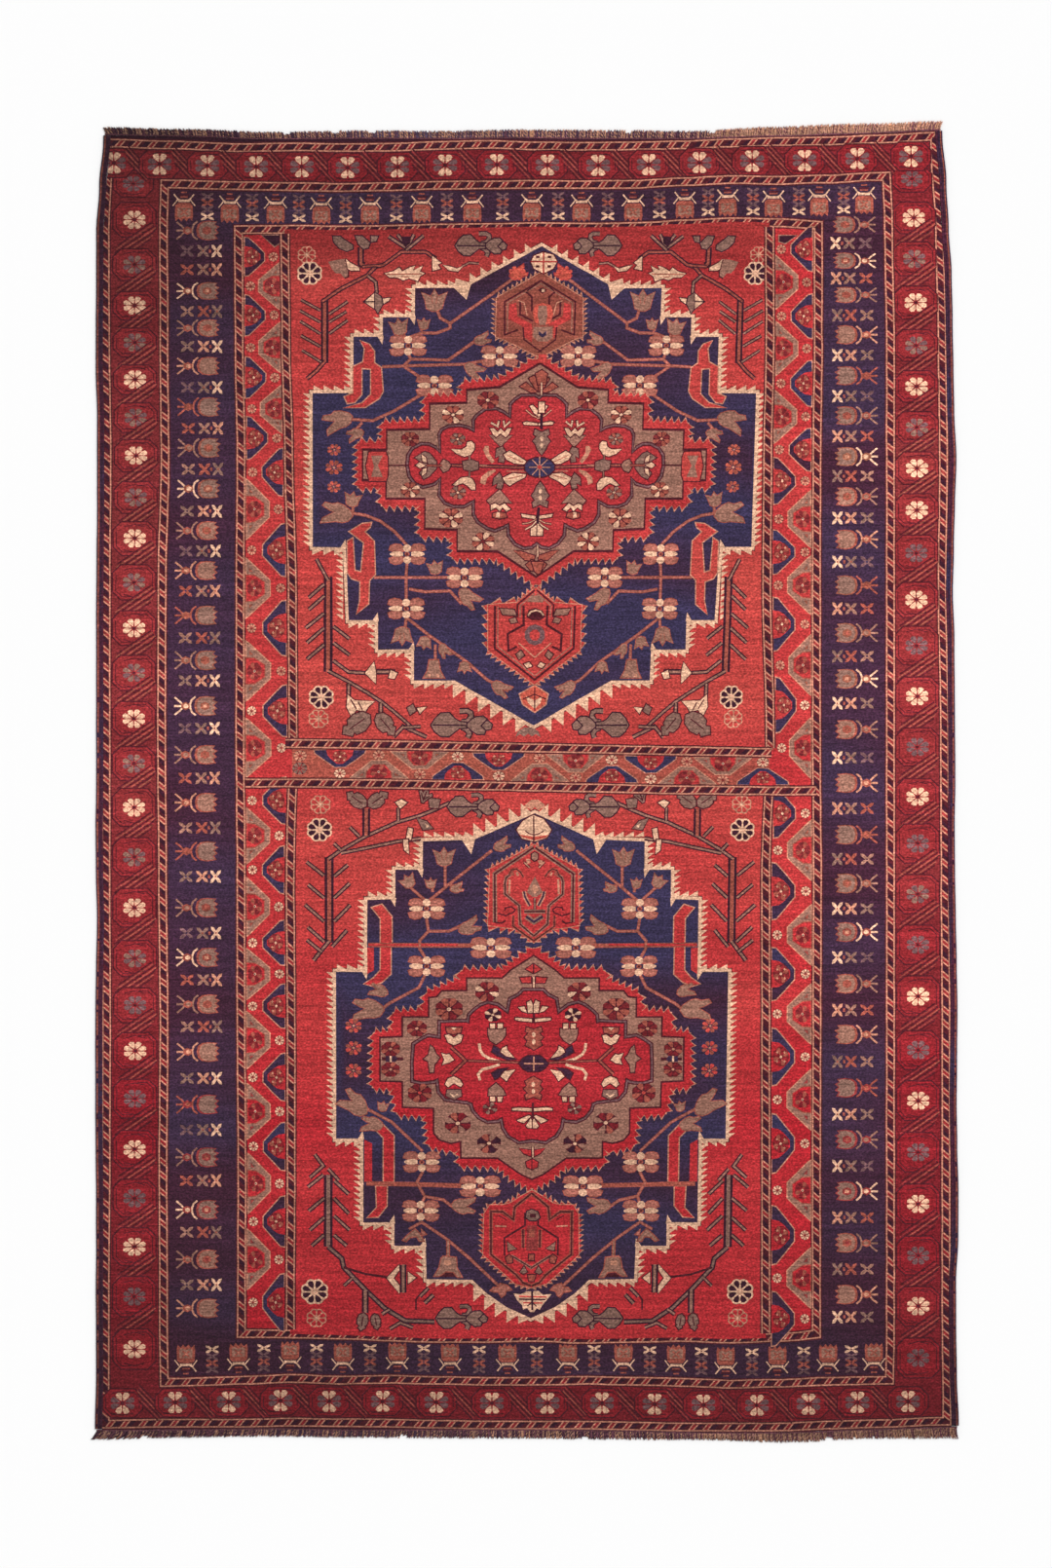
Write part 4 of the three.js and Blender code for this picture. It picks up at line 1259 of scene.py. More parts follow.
def leaf(place, x, y, turn, size, dye="hatch"):
    """A leaf with a dark midrib and, along its turn, two curled hooks and three lobes."""
    here = at(x, y, turn, size, size, place)
    rim = 1.3 / size
    for path in ([(0, -0.08), (0.2, -0.12), (0.31, -0.27), (0.29, -0.38), (0.18, -0.44), (-0.08, -0.43)],
                 [(0, 0.1), (0.16, 0.16), (0.25, 0.29), (0.19, 0.43)]):
        cored(here, path, 0.2, "wine_dark", dye, 0.12)
    edged(here, [(0.62, 0.04), (0.72, -0.09), (0.85, -0.11), (0.97, 0), (0.93, 0.14), (0.82, 0.17),
                 (0.7, 0.12)],
          dye, "wine_dark", rim)
    edged(here, [(0.13, 0.02), (0.33, -0.17), (0.48, -0.24), (0.7, -0.25), (0.8, -0.17), (0.6, 0.04),
                 (0.76, 0.2),
                 (0.72, 0.3), (0.5, 0.31), (0.34, 0.2)], dye, "wine_dark", rim)
    edged(here, [(-0.98, 0.02), (-0.85, -0.19), (-0.67, -0.36), (-0.4, -0.38), (-0.22, -0.18), (-0.08, -0.09),
                 (0.14, -0.07), (0.14, 0.11), (-0.08, 0.12), (-0.22, 0.22), (-0.42, 0.38), (-0.67, 0.38),
                 (-0.86, 0.22)],
          dye, "wine_dark", rim)
    band(here, [(-0.93, 0.02), (0.14, 0.02)], 1.5 / size, "wine_dark")


def wing(place, x, y, turn, size, dye="hatch"):
    """A rounded leaf with two notches in its side, its tip along its turn."""
    here = at(x, y, turn, size, size, place)
    edged(here, [(-1, 0), (-0.75, -0.42), (-0.2, -0.6), (0.3, -0.5), (0.36, -0.3), (0.6, -0.44),
                 (0.8, -0.2), (1, 0),
                 (0.7, 0.34), (0.45, 0.22), (0.3, 0.52), (-0.2, 0.6), (-0.75, 0.42)], dye, "wine", 1.3 / size)
    band(here, [(-0.6, 0), (0.5, 0)], 1.2 / size, "wine")


def fan(place, x, y, turn, size):
    here = at(x, y, turn, size, size, place)
    edged(here, [(-0.9, -0.15), (-0.2, -0.5), (0.5, -1), (0.75, -0.8), (0.4, -0.35), (0.9, -0.3), (1, 0),
                 (0.9, 0.3),
                 (0.4, 0.35), (0.75, 0.8), (0.5, 1), (-0.2, 0.5), (-0.9, 0.12)], "hatch", "wine", 1.3 / size)
    band(here, [(-0.7, 0), (0.8, 0)], 1.3 / size, "wine")
    band(here, [(-0.5, 0), (0.35, 0.62)], 1.0 / size, "wine")
    band(here, [(-0.5, 0), (0.35, -0.62)], 1.0 / size, "wine")


TWIG = "taupe/wine_dark"
TRUNK = "rust/wine_dark"
THICKER = 1.15  # how much thicker the corners' lines are woven than charted
upper_top = [
    (TRUNK, 7, 333.5, 308, 333.5, 373), (TRUNK, 4.2, 334, 371, 325, 381, 315, 389),
    (TWIG, 3.2, 329, 319, 309, 308), (TWIG, 3.2, 329, 331, 308, 319), (TWIG, 3.2, 329, 343, 308, 330),
    (TWIG, 3.2, 329, 356, 309, 345), (TWIG, 3.2, 330, 372, 310, 360),
    (TWIG, 3.2, 338, 323, 357, 310), (TWIG, 3.2, 338, 331, 356, 320), (TWIG, 3.2, 338, 343, 357, 329),
    (TRUNK, 4.2, 331, 310, 350, 297, 377, 283, 386, 274, 394, 272, 412, 259, 437, 259, 448, 266),
    (TRUNK, 6, 370.5, 254, 370.5, 271, 374, 273), (TRUNK, 3.4, 372, 274, 388, 273),
    (TWIG, 4, 377, 283, 386, 290, 387, 302),
    (TWIG, 4.2, 420, 257, 399, 243), (TWIG, 4.2, 419, 254, 408, 241), (TWIG, 4.2, 418, 254, 425, 241),
    (TWIG, 4.2, 417, 257, 435, 242), ("wine_dark", 0, 412, 243, 422, 243, 421, 250, 417, 253, 413, 249),
    ("cream/wine", 0, 444, 263, 453, 270, 449, 272, 452, 276, 444, 278),
    ("cream/wine", 0, 454, 272, 462, 274, 469, 276, 476, 273, 470, 279, 461, 278),
    ("taupe/wine", 2.8, 474, 274, 482, 270, 492, 271),
    ("taupe", 0, 337, 269, 346, 267, 354, 266, 357, 272, 358, 284, 354, 286, 350, 281, 345, 281, 341, 277),
    ("wine", 1.3, 354, 267, 358, 273, 358, 284, 354, 286),
    ("cream/wine", 0, 355, 266, 359, 270, 369, 275, 369, 278, 360, 278, 357, 276),
    ("hatch/wine_dark", 0, 342, 243, 349, 243, 354, 247, 362, 252, 362, 256, 356, 258, 349, 255, 343, 249),
    ("hatch/wine_dark", 0, 365, 243, 372, 243, 380, 250, 378, 255, 373, 256, 368, 251),
    ("hatch/wine_dark", 0, 381, 243, 388, 243, 386, 248, 381, 249),
    ("cream/wine_dark", 0, 374, 310, 385, 301, 385, 318),
    ("hatch/wine_dark", 0, 385, 301, 391, 305, 393, 312, 388, 322, 385, 317),
    ("cream/wine_dark", 0, 393, 307, 401, 306, 399, 309, 394, 312), ("wine_dark", 1.2, 374, 310, 385, 310),
    ("cream/wine", 0, 395, 281, 404, 279, 410, 275, 413, 279, 420, 275, 426, 273, 424, 278, 434, 273, 431,
     279, 436, 281, 431,
     284, 429, 289, 420, 286, 414, 288, 408, 285, 400, 285),
    ("rust", 1.0, 397, 282, 433, 281.5), ("rust", 0.9, 412, 284, 420, 285),
]
upper_bottom = [
    (TRUNK, 8, 337, 592, 337, 690), (TWIG, 4, 325, 574, 337, 596), (TWIG, 4, 333, 600, 317, 614),
    (TWIG, 4, 333, 612, 317, 626), (TWIG, 4, 333, 630, 314, 645), (TWIG, 4, 333, 645, 315, 660),
    (TWIG, 4, 333, 662, 315, 677), (TWIG, 4, 342, 643, 359, 656), (TWIG, 4, 342, 660, 359, 673),
    (TWIG, 4, 342, 678, 358, 690, 376, 691),
    (TWIG, 4, 337, 689, 360, 701, 378, 712, 392, 721, 406, 732, 422, 746),
    (TWIG, 4.6, 358, 702, 358, 716), (TWIG, 4.6, 391, 722, 391, 738),
    (TWIG, 5, 386, 690, 406, 690), ("cream/wine", 0, 375, 691, 384, 680, 386, 690, 386, 702),
    ("cream/wine", 0, 401, 688, 408, 691, 405, 697, 399, 696),
    ("cream/wine", 0, 357, 713, 364, 719, 385, 720, 378, 726, 375, 731, 366, 729, 361, 736, 356, 726),
    ("wine", 1.2, 360, 718, 366, 728), ("wine", 1.2, 368, 721, 372, 729),
    ("hatch/wine", 0, 418, 727, 424, 723, 427, 730, 421, 734),
    ("cream/wine", 0, 428, 727, 438, 726, 431, 733),
    (TWIG, 4.4, 404, 757, 414, 746, 438, 757), (TWIG, 4, 414, 747, 432, 746),
]
lower_top = [
    (TRUNK, 8, 338, 880, 338, 968), (TWIG, 4.4, 338, 966, 322, 986),
    (TWIG, 4, 315, 885, 333, 899), (TWIG, 4, 316, 908, 333, 922), (TWIG, 4, 313, 929, 333, 946),
    (TWIG, 4, 316, 952, 333, 967), (TWIG, 4, 315, 965, 330, 977),
    (TWIG, 4, 357, 888, 343, 900), (TWIG, 4, 359, 907, 343, 922), (TWIG, 4, 360, 929, 343, 946),
    (TWIG, 4, 356, 955, 341, 972),
    (TWIG, 4.2, 337, 882, 350, 873, 375, 859, 408, 844, 430, 838, 447, 831, 462, 824),
    (TWIG, 4, 350, 876, 380, 870, 408, 864, 432, 861), (TRUNK, 7, 376, 858, 376, 830),
    (TWIG, 4, 409, 843, 409, 829), (TWIG, 4, 359, 849, 369, 859), (TWIG, 4, 343, 866, 350, 873),
    ("cream/wine", 0, 419, 850, 424, 851, 422, 862, 417, 862),
    ("cream/wine", 0, 414, 862, 419, 862, 420, 877, 415, 873),
    ("cream/wine", 0, 406, 824, 412, 821, 418, 824, 411, 830),
    ("hatch/wine", 0, 428, 840, 438, 843, 445, 851, 434, 852),
    ("cream", 0, 436, 845, 441, 848, 438, 850), ("hatch/wine", 0, 440, 819, 452, 821, 450, 830, 441, 829),
]
lower_bottom = [
    ("hatch/wine_dark", 8, 337, 1206, 337, 1280), (TWIG, 4, 323, 1185, 332, 1197, 318, 1209),
    (TWIG, 4, 337, 1200, 348, 1212),
    (TWIG, 4, 332, 1206, 316, 1219), (TWIG, 4, 333, 1230, 317, 1243), (TWIG, 4, 333, 1250, 318, 1263),
    (TWIG, 4, 333, 1268, 320, 1279), (TWIG, 4, 343, 1212, 358, 1226), (TWIG, 4, 343, 1230, 358, 1246),
    (TWIG, 4, 343, 1248, 359, 1263), (TWIG, 4, 343, 1268, 356, 1279),
    ("hatch/wine_dark", 5, 337, 1280, 351, 1292, 353, 1301, 376, 1325, 395, 1343, 416, 1356, 446, 1357),
    ("wine", 2, 353, 1301, 375, 1308, 397, 1311), (TWIG, 6, 375, 1325, 375, 1348),
    ("cream/wine", 0, 397, 1312, 410, 1298, 410, 1304, 404, 1312, 410, 1320, 410, 1328),
    (TWIG, 6, 414, 1298, 414, 1327), ("cream/wine", 0, 419, 1306, 427, 1312, 419, 1318),
    (TWIG, 3.6, 353, 1320, 362, 1312), ("wine", 1.6, 427, 1345, 427, 1334, 431, 1329),
    (TWIG, 4, 431, 1331, 440, 1322), (TWIG, 4.4, 436, 1338, 445, 1329),
    (TWIG, 4, 400, 1364, 411, 1358, 424, 1363), (TWIG, 4, 392, 1349, 400, 1344),
]
for halves, rows in ((upper_corners, upper_top), (upper_corners, upper_bottom), (lower_corners, lower_top),
                     (lower_corners, lower_bottom)):
    draw(halves, [(dye, width * THICKER, *flat) for dye, width, *flat in rows])
for halves, x, y, radius, solid in (
    (upper_corners, 315, 262, 9, 0), (upper_corners, 318, 281, 12.4, 1), (upper_corners, 330, 716, 12.4, 1),
    (upper_corners, 327, 738, 10, 0), (lower_corners, 329, 826, 10, 0), (lower_corners, 328, 852, 12.4, 1),
    (lower_corners, 323, 1326, 13.5, 1), (lower_corners, 325, 1353, 10, 0),
):
    for place in halves:
        star_flower(place, x, y, radius, solid)
for shape, halves, x, y, turn, size in (
    (leaf, upper_corners, 494, 252, 0, 27), (leaf, upper_corners, 474, 744, 0, 32),
    (leaf, lower_corners, 486, 828, 0, 27),
    (leaf, lower_corners, 474, 1353, 0, 27),
    (wing, upper_corners, 366, 744, 145, 17), (wing, upper_corners, 396, 744, 50, 14),
    (wing, lower_corners, 372, 1357, 100, 9),
    (wing, lower_corners, 386, 1357, 80, 8), (wing, lower_corners, 366, 821, 215, 12),
    (wing, lower_corners, 388, 821, -35, 12),
    (fan, lower_corners, 436, 818, -70, 7),
):
    for place in halves:
        shape(place, x, y, turn, size)
crescent(straight, 542, 751, 13, 6, "hatch")
crescent(straight, 549, 826, 12, 7, "peach")


# The guard stripes round the panels, like those round the borders, and the ribbon border that crosses the
# rug between the two panels. They are laid last, so that they cover the ends of the corner branches.
STRIPE_REACH = 4.2  # how far a level stripe covers the end of an upright one
for name, x in (("left_4", 296), ("right_4", 788)):
    for top, bottom in (("top_3", "middle_1"), ("middle_2", "bottom_3")):
        guard_stripe(upright_path(name, level(top, x) + STRIPE_REACH, level(bottom, x) - STRIPE_REACH))
paint(straight, level_path("middle_1", 300, 790) + level_path("middle_2", 790, 300), "clay")
level_ribbon(MIDDLE, "middle_1", "middle_2")
flower_dot(at(308, 776, 0, 1.2, 1), 5.4, "peach")
flower_dot(at(308, 789, 0, 1.2, 1), 6, "hatch")
for name, start, end in (("middle_1", 293, 792), ("middle_2", 252, 838)):
    guard_stripe(level_path(name, start, end))


# The woven cloth: one sheet of wool wefts wrapped round warps stretched on the loom. Every patch of the
# chart becomes faces of one conforming sheet, a little uneven as handwork is, with walls and a flat
# underside. Its edges are as straight or as crooked as the frame's.
CLOTH_TOP = 0.0031
EDGE_TOP = 0.0024
RIPPLE = 0.0009  # how far the cloth rises where it doesn't lie quite flat
SPACING = 26  # between the points that keep wide patches from long thin faces
HAND = 0.45  # how far a hand-worked line strays, in stitches
CORD_ROOM = 8  # stitches from the chart's sides to the cloth's
END_ROOM = (9, 4)  # and from its top and bottom ends to where the cloth may rise
SLOPE = 12  # over which the edge rises to the cloth's own height


def wall(node, way):
    """The plan points of a node's wall that faces a way, in metres."""
    mesh = bpy.data.objects[node].data
    points = set()
    for face in mesh.polygons:
        if face.normal.dot(way) > 0.7:
            points |= {tuple(round(c, 6) for c in mesh.vertices[i].co[:2]) for i in face.vertices}
    return sorted(points)


def cloth_outline():
    top = [on_chart(*p) for p in wall("kilim", Vector((0, 1, 0)))]
    bottom = [on_chart(*p) for p in wall("kilim", Vector((0, -1, 0)))][::-1]
    right = sorted((on_chart(*p) for p in wall("kilim", Vector((1, 0, 0)))), key=lambda p: p[1])
    left = sorted((on_chart(*p) for p in wall("kilim", Vector((-1, 0, 0)))), key=lambda p: -p[1])
    return top + right[1:-1] + bottom + left[1:-1]


def weave():
    outline = cloth_outline()
    patches = [(outline, "wine_dark")] + chart
    points, faces = [], []
    for shape, dye in patches:
        start = len(points)
        points.extend(Vector(p) for p in shape)
        faces.append(list(range(start, len(points))) if signed_area(shape) > 0
                     else list(range(len(points) - 1, start - 1, -1)))
    for column in spaced(min(p[0] for p in outline), max(p[0] for p in outline), SPACING):
        for row in spaced(min(p[1] for p in outline), max(p[1] for p in outline), SPACING):
            points.append(Vector((column, row)))
    corners, _, triangles, _, _, owners = delaunay_2d_cdt(points, [], faces, 0, 1e-3, True)
    kept = [(t, max(o)) for t, o in zip(triangles, owners) if 0 in o]
    return corners, kept, [dye for _, dye in patches]


corners, kept, patch_dyes = weave()


def stray(x, y):
    wander = noise.noise_vector(Vector((x * 0.09, y * 0.09, 3.1))) * HAND
    return x + wander.x, y + wander.y


def cloth_height(x, y):
    wave = noise.noise(Vector((x * 0.006, y * 0.004, 0.5)))
    wave += 0.5 * noise.noise(Vector((x * 0.02, y * 0.013, 7)))
    return CLOTH_TOP + RIPPLE * max(wave + 0.35, 0)


def edge_share(x, y):
    """0 at the cloth's edge and 1 well inside it."""
    inside = min(x - CHART_SIDES[0] - CORD_ROOM, CHART_SIDES[1] - CORD_ROOM - x,
                 y - CHART_ENDS[0] - END_ROOM[0], CHART_ENDS[1] - END_ROOM[1] - y)
    return min(max(inside / SLOPE, 0), 1)


mesh = bpy.data.meshes.new("woven_cloth")
vertices = []
for corner in corners:
    share = edge_share(corner.x, corner.y)
    sx, sy = stray(corner.x, corner.y)
    x, y = corner.x + (sx - corner.x) * share, corner.y + (sy - corner.y) * share
    height = EDGE_TOP + (cloth_height(x, y) - EDGE_TOP) * share
    vertices.append((*on_rug(x, y), height))
mesh.from_pydata(vertices, [], [triangle for triangle, _ in kept])
# The corner colours are the dyes with wool()'s painted light and shade at each place.
dye_and_painted_light_layer = mesh.color_attributes.new("dye", "FLOAT_COLOR", "CORNER")
known = {}
for polygon, (_, owner) in zip(mesh.polygons, kept):
    for loop, vertex in zip(polygon.loop_indices, polygon.vertices):
        key = patch_dyes[owner], vertex
        if key not in known:
            known[key] = (*wool(patch_dyes[owner], corners[vertex].x, corners[vertex].y), 1)
        dye_and_painted_light_layer.data[loop].color = known[key]
bake_layer = mesh.uv_layers.new(name="OFBake")
for loop, uv in zip(mesh.loops, bake_layer.data):
    x, y, _ = vertices[loop.vertex_index]
    u = (x - RUG_SIDES[0]) / (RUG_SIDES[1] - RUG_SIDES[0])
    uv.uv = u, (y - RUG_ENDS[1]) / (RUG_ENDS[0] - RUG_ENDS[1])
cloth = bpy.data.objects.new("woven_cloth", mesh)
bpy.context.scene.collection.objects.link(cloth)

shaped = bmesh.new()
shaped.from_mesh(mesh)
bmesh.ops.delete(shaped, geom=[v for v in shaped.verts if not v.link_faces], context="VERTS")
bmesh.ops.recalc_face_normals(shaped, faces=shaped.faces[:])
if sum(face.normal.z for face in shaped.faces) < 0:
    bmesh.ops.reverse_faces(shaped, faces=shaped.faces[:])
rim = [edge for edge in shaped.edges if edge.is_boundary]
walls = bmesh.ops.extrude_edge_only(shaped, edges=rim)
lower_edges = [e for e in walls["geom"] if isinstance(e, bmesh.types.BMEdge) and e.is_boundary]
for vertex in {v for e in lower_edges for v in e.verts}:
    vertex.co.z = 0
bmesh.ops.contextual_create(shaped, geom=lower_edges)
bmesh.ops.recalc_face_normals(shaped, faces=shaped.faces[:])
shaped.to_mesh(mesh)
shaped.free()


LOOP_ROW = 0.0023  # one row of wrapped loops
LOOP_PITCH = 0.0034  # from one loop to the next in its row
LOOP_RELIEF = 0.0006  # how far the loops stand out


def wool_material(name, woven):
    """Wool in the dyes of the mesh's own colours, with uneven dyeing and spinning. Woven wool has rows of
    slanting loops, which lean the other way in every second row, and painted shade darkens its colour between
    the loops."""
    material = bpy.data.materials.new(name)
    material.use_nodes = True
    nodes, links = material.node_tree.nodes, material.node_tree.links
    shader = nodes["Principled BSDF"]
    shader.inputs["Roughness"].default_value = 0.95
    shader.inputs["Specular IOR Level"].default_value = 0.15
    shader.inputs["Sheen Weight"].default_value = 0.08

    def feed(socket, value):
        if isinstance(value, (int, float, tuple)):
            socket.default_value = value
        else:
            links.new(value, socket)

    def work(operation, *values):
        node = nodes.new("ShaderNodeMath")
        node.operation = operation
        for socket, value in zip(node.inputs, values):
            feed(socket, value)
        return node.outputs[0]

    place = nodes.new("ShaderNodeTexCoord").outputs["Object"]

    def grain(scale, detail):
        mapping = nodes.new("ShaderNodeMapping")
        feed(mapping.inputs["Scale"], scale)
        feed(mapping.inputs["Vector"], place)
        texture = nodes.new("ShaderNodeTexNoise")
        feed(texture.inputs["Vector"], mapping.outputs["Vector"])
        feed(texture.inputs["Scale"], 1.0)
        feed(texture.inputs["Detail"], detail)
        return work("SUBTRACT", texture.outputs["Fac"], 0.5)

    unevenness = 0.0
    for scale, detail, strength in (((1.6, 14, 0.5), 2, 0.45), ((5, 110, 1), 3, 1.1), ((30, 260, 1), 2, 0.9),
                                    ((190, 260, 50), 2, 2.6)):
        unevenness = work("MULTIPLY_ADD", grain(scale, detail), strength, unevenness)
    shade = work("EXPONENT", unevenness)
    fleck = grain((420, 420, 420), 2)
    relief = work("MULTIPLY", fleck, 1.0)
    if woven:
        axes = nodes.new("ShaderNodeSeparateXYZ")
        feed(axes.inputs[0], place)
        row = work("MULTIPLY_ADD", axes.outputs["Y"], 1 / LOOP_ROW,
                   work("MULTIPLY", grain((9, 9, 1), 1), 2.0))
        share = work("FRACT", row)
        lean = work("MULTIPLY_ADD", work("PINGPONG", work("FLOOR", row), 1.0), 1.4, -0.7)
        loop = work("MULTIPLY_ADD", lean, share, work("MULTIPLY", axes.outputs["X"], 1 / LOOP_PITCH))
        rise = work("ABSOLUTE", work("SINE", work("MULTIPLY", loop, math.pi)))
        crown = work("SINE", work("MULTIPLY", share, math.pi))
        height = work("MULTIPLY", work("POWER", rise, 0.6), work("POWER", crown, 0.7))
        relief = work("MULTIPLY_ADD", height, 1.0, work("MULTIPLY", fleck, 0.7))
        # Painted shade: the colour is darkest between the loops and the rows, lightest on their crowns.
        shade = work("MULTIPLY", shade, work("MULTIPLY_ADD", height, 0.34, 0.77))
    # The dye colours already hold the painted light and shade of wool().
    dye = nodes.new("ShaderNodeAttribute")
    dye.attribute_name = "dye"
    colour = nodes.new("ShaderNodeVectorMath")
    colour.operation = "SCALE"
    feed(colour.inputs[0], dye.outputs["Color"])
    feed(colour.inputs["Scale"], shade)
    feed(shader.inputs["Base Color"], colour.outputs[0])
    bump = nodes.new("ShaderNodeBump")
    bump.inputs["Distance"].default_value = LOOP_RELIEF
    bump.inputs["Strength"].default_value = 0.7
    feed(bump.inputs["Height"], relief)
    feed(shader.inputs["Normal"], bump.outputs[0])
    return material


cloth.data.materials.append(wool_material("woven_wool_face", True))
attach(cloth, "root")
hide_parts("kilim")


# The side cords: three on each side, each a bundle of warps overcast in wool, navy in places and wine in
# others, with a rim of orange threads along the outermost. They are sewn to the cloth and to each other
# by the same wool.
CORDS = 3
CORD_PITCH = 0.0056
CORD_HALF = (0.0029, 0.0021)  # half a cord's width and half its height
CORD_LIFT = 1.06  # a cord's middle above the floor, as a share of half its height
CORD_FACETS = 10
RING_STEP = 0.006
END_GAP = 0.001  # a cord stops this far short of its line's ends
SEWN_IN = 0.0001  # and the outermost lies this far inside its line
cord_wool = wool_material("overcast_wool", False)


def tube(made, path, wide, tall, dye_of, sides):
    """A closed tube along a path that lies on the floor, with its half width and half height at each
    point."""
    start = len(made["vertices"])
    for i, (x, y, z) in enumerate(path):
        before, after = path[max(i - 1, 0)], path[min(i + 1, len(path) - 1)]
        length = math.dist(before[:2], after[:2]) or 1
        sx, sy = (after[1] - before[1]) / length, (before[0] - after[0]) / length
        for k in range(sides):
            turn = 2 * math.pi * k / sides
            reach, rise = wide[i] * math.cos(turn), tall[i] * math.sin(turn)
            made["vertices"].append((x + sx * reach, y + sy * reach, z + rise))
    for i in range(len(path) - 1):
        for k in range(sides):
            a, b = start + i * sides + k, start + i * sides + (k + 1) % sides
            made["faces"].append((a, b, b + sides, a + sides))
            made["dyes"].append(dye_of(i, k))
    end = len(made["vertices"]) - sides
    for first, ring in ((start, 0), (end, len(path) - 2)):
        made["faces"].append(tuple(range(first, first + sides)))
        made["dyes"].append(dye_of(ring, 0))


def finished(name, made, material, node):
    mesh = bpy.data.meshes.new(name)
    mesh.from_pydata(made["vertices"], [], made["faces"])
    shell = bmesh.new()
    shell.from_mesh(mesh)
    bmesh.ops.recalc_face_normals(shell, faces=shell.faces[:])
    shell.to_mesh(mesh)
    shell.free()
    layer = mesh.color_attributes.new("dye", "FLOAT_COLOR", "CORNER")
    for polygon, dye in zip(mesh.polygons, made["dyes"]):
        # Each face's colour is its dye with wool()'s painted light and shade at its place.
        colour = (*wool(dye, *on_chart(*polygon.center[:2])), 1)
        for loop in polygon.loop_indices:
            layer.data[loop].color = colour
    mesh.shade_smooth()
    mesh.materials.append(material)
    made_piece = bpy.data.objects.new(name, mesh)
    bpy.context.scene.collection.objects.link(made_piece)
    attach(made_piece, "root")
    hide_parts(node)
    return made_piece


def side_cords(name, node, side):
    outermost = {}
    for x, y in wall(node, Vector((side, 0, 0))):
        outermost[round(y, 3)] = max(outermost.get(round(y, 3), -9), x * side)
    line = sorted(outermost.items())
    made = {"vertices": [], "faces": [], "dyes": []}
    for cord in range(CORDS):
        path, wide, tall = [], [], []
        for y in spaced(line[0][0] + END_GAP, line[-1][0] - END_GAP, RING_STEP):
            swell = 1 + 0.07 * noise.noise(Vector((y * 90, cord * 7, side)))
            drift = 0.0004 * noise.noise(Vector((y * 12, cord * 3, side + 5)))
            x = soft(line, y) - (cord + 0.5) * CORD_PITCH - SEWN_IN
            path.append(((x + drift) * side, y, CORD_HALF[1] * CORD_LIFT))
            wide.append(CORD_HALF[0] * swell)
            tall.append(CORD_HALF[1] * swell)

        def dye_of(ring, facet):
            y = path[ring][1]
            outer = facet in ((0, 1) if side < 0 else (3, 4))
            patchy = noise.noise(Vector((y * 60, cord, side)))
            if cord == 0 and outer and patchy > (-0.8 if y > 0.2 else -0.2):
                return "orange"
            long_patch = noise.noise(Vector((y * 5, cord * 0.6, side * 3)))
            return "cord_navy" if long_patch + 0.5 * patchy > -0.05 else "cord_wine"

        tube(made, path, wide, tall, dye_of, CORD_FACETS)
    return finished(name, made, cord_wool, node)


cords_left = side_cords("side_cords_left", "selvedge_left", -1)
cords_right = side_cords("side_cords_right", "selvedge_right", 1)


# The fringe: the warp ends left at each end of the cloth, wool twisted in twos, each pair held by a small
# knot and lying in a thin mat of loose fibre. Its tips are given in the chart's stitches, and its leans
# in stitches to the right, both from the left of the rug to the right.
STRANDS = 540
SEEDS = {"top": 7, "bottom": 11}
FRINGE_OVERHANG = 0.013  # how far the fringe reaches past the cloth's corners, beside the cords' ends
TIPS = {
    "top": (130.5, 132.5, 135.5, 134, 134.5, 133, 133.5, 134.5, 130, 127, 124.5),
    "bottom": (1478, 1476, 1475, 1476, 1476.5, 1477, 1478, 1478.5, 1481, 1477, 1477),
}
LEANS = {
    "top": (-2.4, -2, -1.6, -1, -0.4, 0, 0.4, 1, 1.4, 1.8, 3.4),
    "bottom": (-7, -3.6, -2.4, -1.6, -0.8, 0, 0.6, 0.8, 1, 1.2, 2),
}
THIN = {"top": (295, 345, 383, 645, 730), "bottom": (152, 415, 600, 850)}  # where strands are worn short
WORN_SHARE = 0.72
PALE_FROM = {"top": 730, "bottom": 690}  # the warps are paler to the right of these stitches
MAT_PALE_FROM = 720
PLY_HALF = 0.00112
PLY_RINGS = 8
PLY_TURNS = 2.1
ROOT = 0.003  # a strand leaves its knot this far from the cloth
fringe_wool = wool_material("fringe_wool", False)


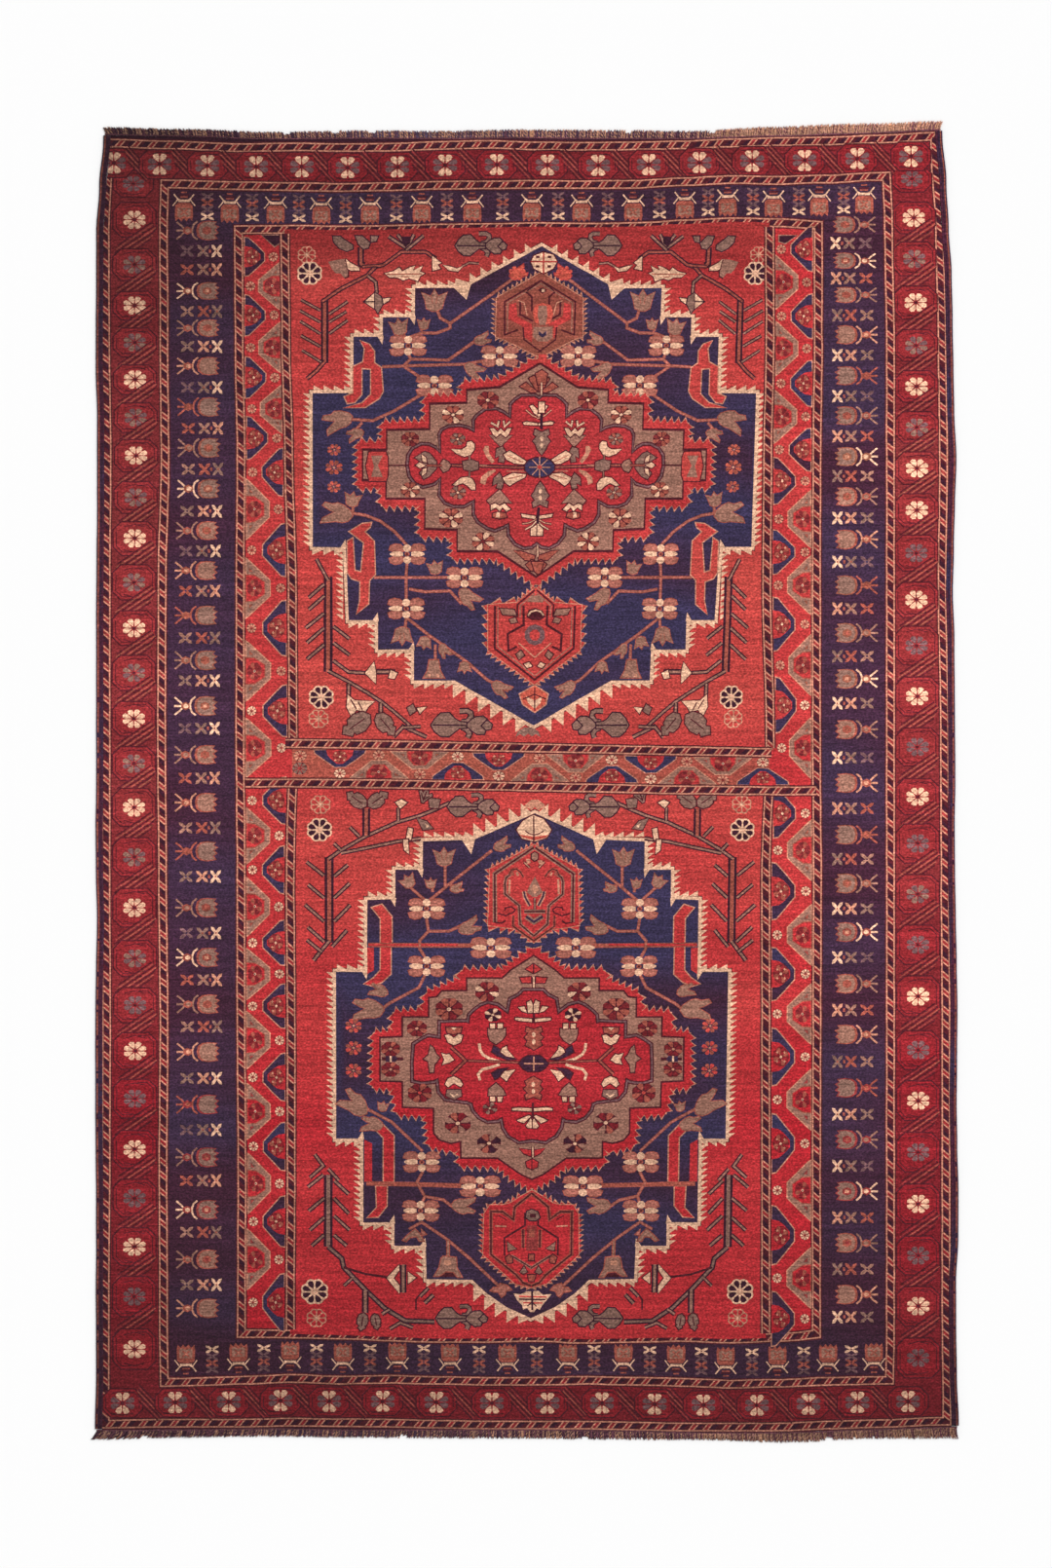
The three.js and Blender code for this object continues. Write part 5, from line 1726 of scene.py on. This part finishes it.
def fringe(name, node, end, towards):
    rng = random.Random(SEEDS[end])
    line = wall("kilim", Vector((0, towards, 0)))
    made = {"vertices": [], "faces": [], "dyes": []}
    first, last = line[0][0] - FRINGE_OVERHANG, line[-1][0] + FRINGE_OVERHANG
    mat = []
    for strand in range(STRANDS):
        share = (strand + 0.5 + rng.uniform(-0.28, 0.28)) / STRANDS
        x = first + (last - first) * share
        y = soft(line, x) + towards * 0.0004
        column = share * 10
        pale = on_chart(x, y)[0] > PALE_FROM[end]
        reach = abs(on_rug(0, soft(list(enumerate(TIPS[end])), column))[1] - y) * rng.uniform(0.92, 1.05)
        if min(abs(on_chart(x, y)[0] - gap) for gap in THIN[end]) < 3:
            reach *= WORN_SHARE
        lean = soft(list(enumerate(LEANS[end])), column) * STITCH + rng.gauss(0, 0.0012)
        bend = rng.gauss(0, 0.0008)
        tones = {
            ("top", False): ("fringe_navy", "tan", "fringe_wine", "fringe_navy", "sand"),
            ("top", True): ("tan", "sand", "fringe_wine", "tan", "tan"),
            ("bottom", False): ("fringe_wine", "fringe_navy", "tan", "fringe_wine", "fringe_navy", "sand"),
            ("bottom", True): ("tan", "sand", "fringe_wine", "tan", "fringe_wine"),
        }[end, pale]
        pair = (rng.choice(tones), rng.choice(tones))
        mat.append((x, y, x + lean * 0.8, y + towards * reach * rng.uniform(0.78, 0.93)))
        knot_path = [(x, y + towards * u, 0.0014) for u in (0, 0.0009, 0.0030, 0.0040)]
        tube(made, knot_path, (0.0012, 0.0023, 0.0023, 0.0010), (0.0007, 0.0012, 0.0012, 0.0006),
             lambda i, k: "fringe_wine", 6)
        phase = rng.uniform(0, 2 * math.pi)
        for ply in (0, 1):
            path = []
            for i in range(PLY_RINGS):
                t = i / (PLY_RINGS - 1)
                turn = phase + math.pi * ply + 2 * math.pi * PLY_TURNS * t
                spread = PLY_HALF * (0.85 if i < PLY_RINGS - 1 else 1.3)
                px = x + lean * t * t + bend * math.sin(math.pi * t) + spread * math.cos(turn)
                pz = PLY_HALF * (1.55 + 0.5 * (strand % 2)) + 0.5 * spread * math.sin(turn)
                path.append((px, y + towards * (ROOT + max(reach - ROOT, 0.004) * t), pz))
            half = [PLY_HALF * r for r in (1, 1, 1, 1, 1, 1, 0.95, 0.4)]
            tube(made, path, half, half, lambda i, k: pair[ply], 5)
    mat.sort()
    pale_side = on_rug(MAT_PALE_FROM, 0)[0]
    base = len(made["vertices"])
    for x, y, tip_x, tip_y in mat:
        made["vertices"] += [(x, y, 0), (x, y, 0.0017), (tip_x, tip_y, 0.0010), (tip_x, tip_y, 0)]
    for i in range(base, base + 4 * (len(mat) - 1), 4):
        for a, b in ((0, 1), (1, 2), (2, 3), (3, 0)):
            made["faces"].append((i + a, i + b, i + b + 4, i + a + 4)[::towards])
            made["dyes"].append("mat_pale" if mat[(i - base) // 4][0] > pale_side else "mat_dark")
    for i, way in ((base, towards), (base + 4 * (len(mat) - 1), -towards)):
        made["faces"].append((i, i + 3, i + 2, i + 1)[::way])
        made["dyes"].append("mat_dark")
    return finished(name, made, fringe_wool, node)


fringe_top = fringe("warp_fringe_top", "fringe_top", "top", 1)
fringe_bottom = fringe("warp_fringe_bottom", "fringe_bottom", "bottom", -1)


# The floor: a plain, pale sheet, matt and a hair under the rug so that the two never share a face. Soft
# daylight comes from all round, with a wide sun half way up, from the upper right.
FLOOR_HALF = 8
FLOOR_DROP = 0.0002
SKY = 0.8
SUN = 1.3


def floor_piece():
    sheet = bmesh.new()
    bmesh.ops.create_grid(sheet, x_segments=1, y_segments=1, size=FLOOR_HALF)
    mesh = bpy.data.meshes.new("floor")
    sheet.to_mesh(mesh)
    sheet.free()
    floor = bpy.data.objects.new("floor", mesh)
    floor.location.z = -FLOOR_DROP
    bpy.context.scene.collection.objects.link(floor)
    material = bpy.data.materials.new("floor")
    material.use_nodes = True
    material.node_tree.nodes["Principled BSDF"].inputs["Base Color"].default_value = (0.9, 0.9, 0.9, 1)
    material.node_tree.nodes["Principled BSDF"].inputs["Roughness"].default_value = 1
    mesh.materials.append(material)
    return floor


floor = floor_piece()
world = bpy.data.worlds.new("daylight")
world.use_nodes = True
world.node_tree.nodes["Background"].inputs["Color"].default_value = (1, 1, 1, 1)
world.node_tree.nodes["Background"].inputs["Strength"].default_value = SKY
bpy.context.scene.world = world
lamp = bpy.data.objects.new("lamp", bpy.data.lights.new("lamp", "SUN"))
lamp.data.energy = SUN
lamp.data.angle = math.radians(30)
lamp.rotation_euler = (math.radians(-30), math.radians(35), 0)
bpy.context.scene.collection.objects.link(lamp)
bpy.context.scene.view_settings.view_transform = "Standard"
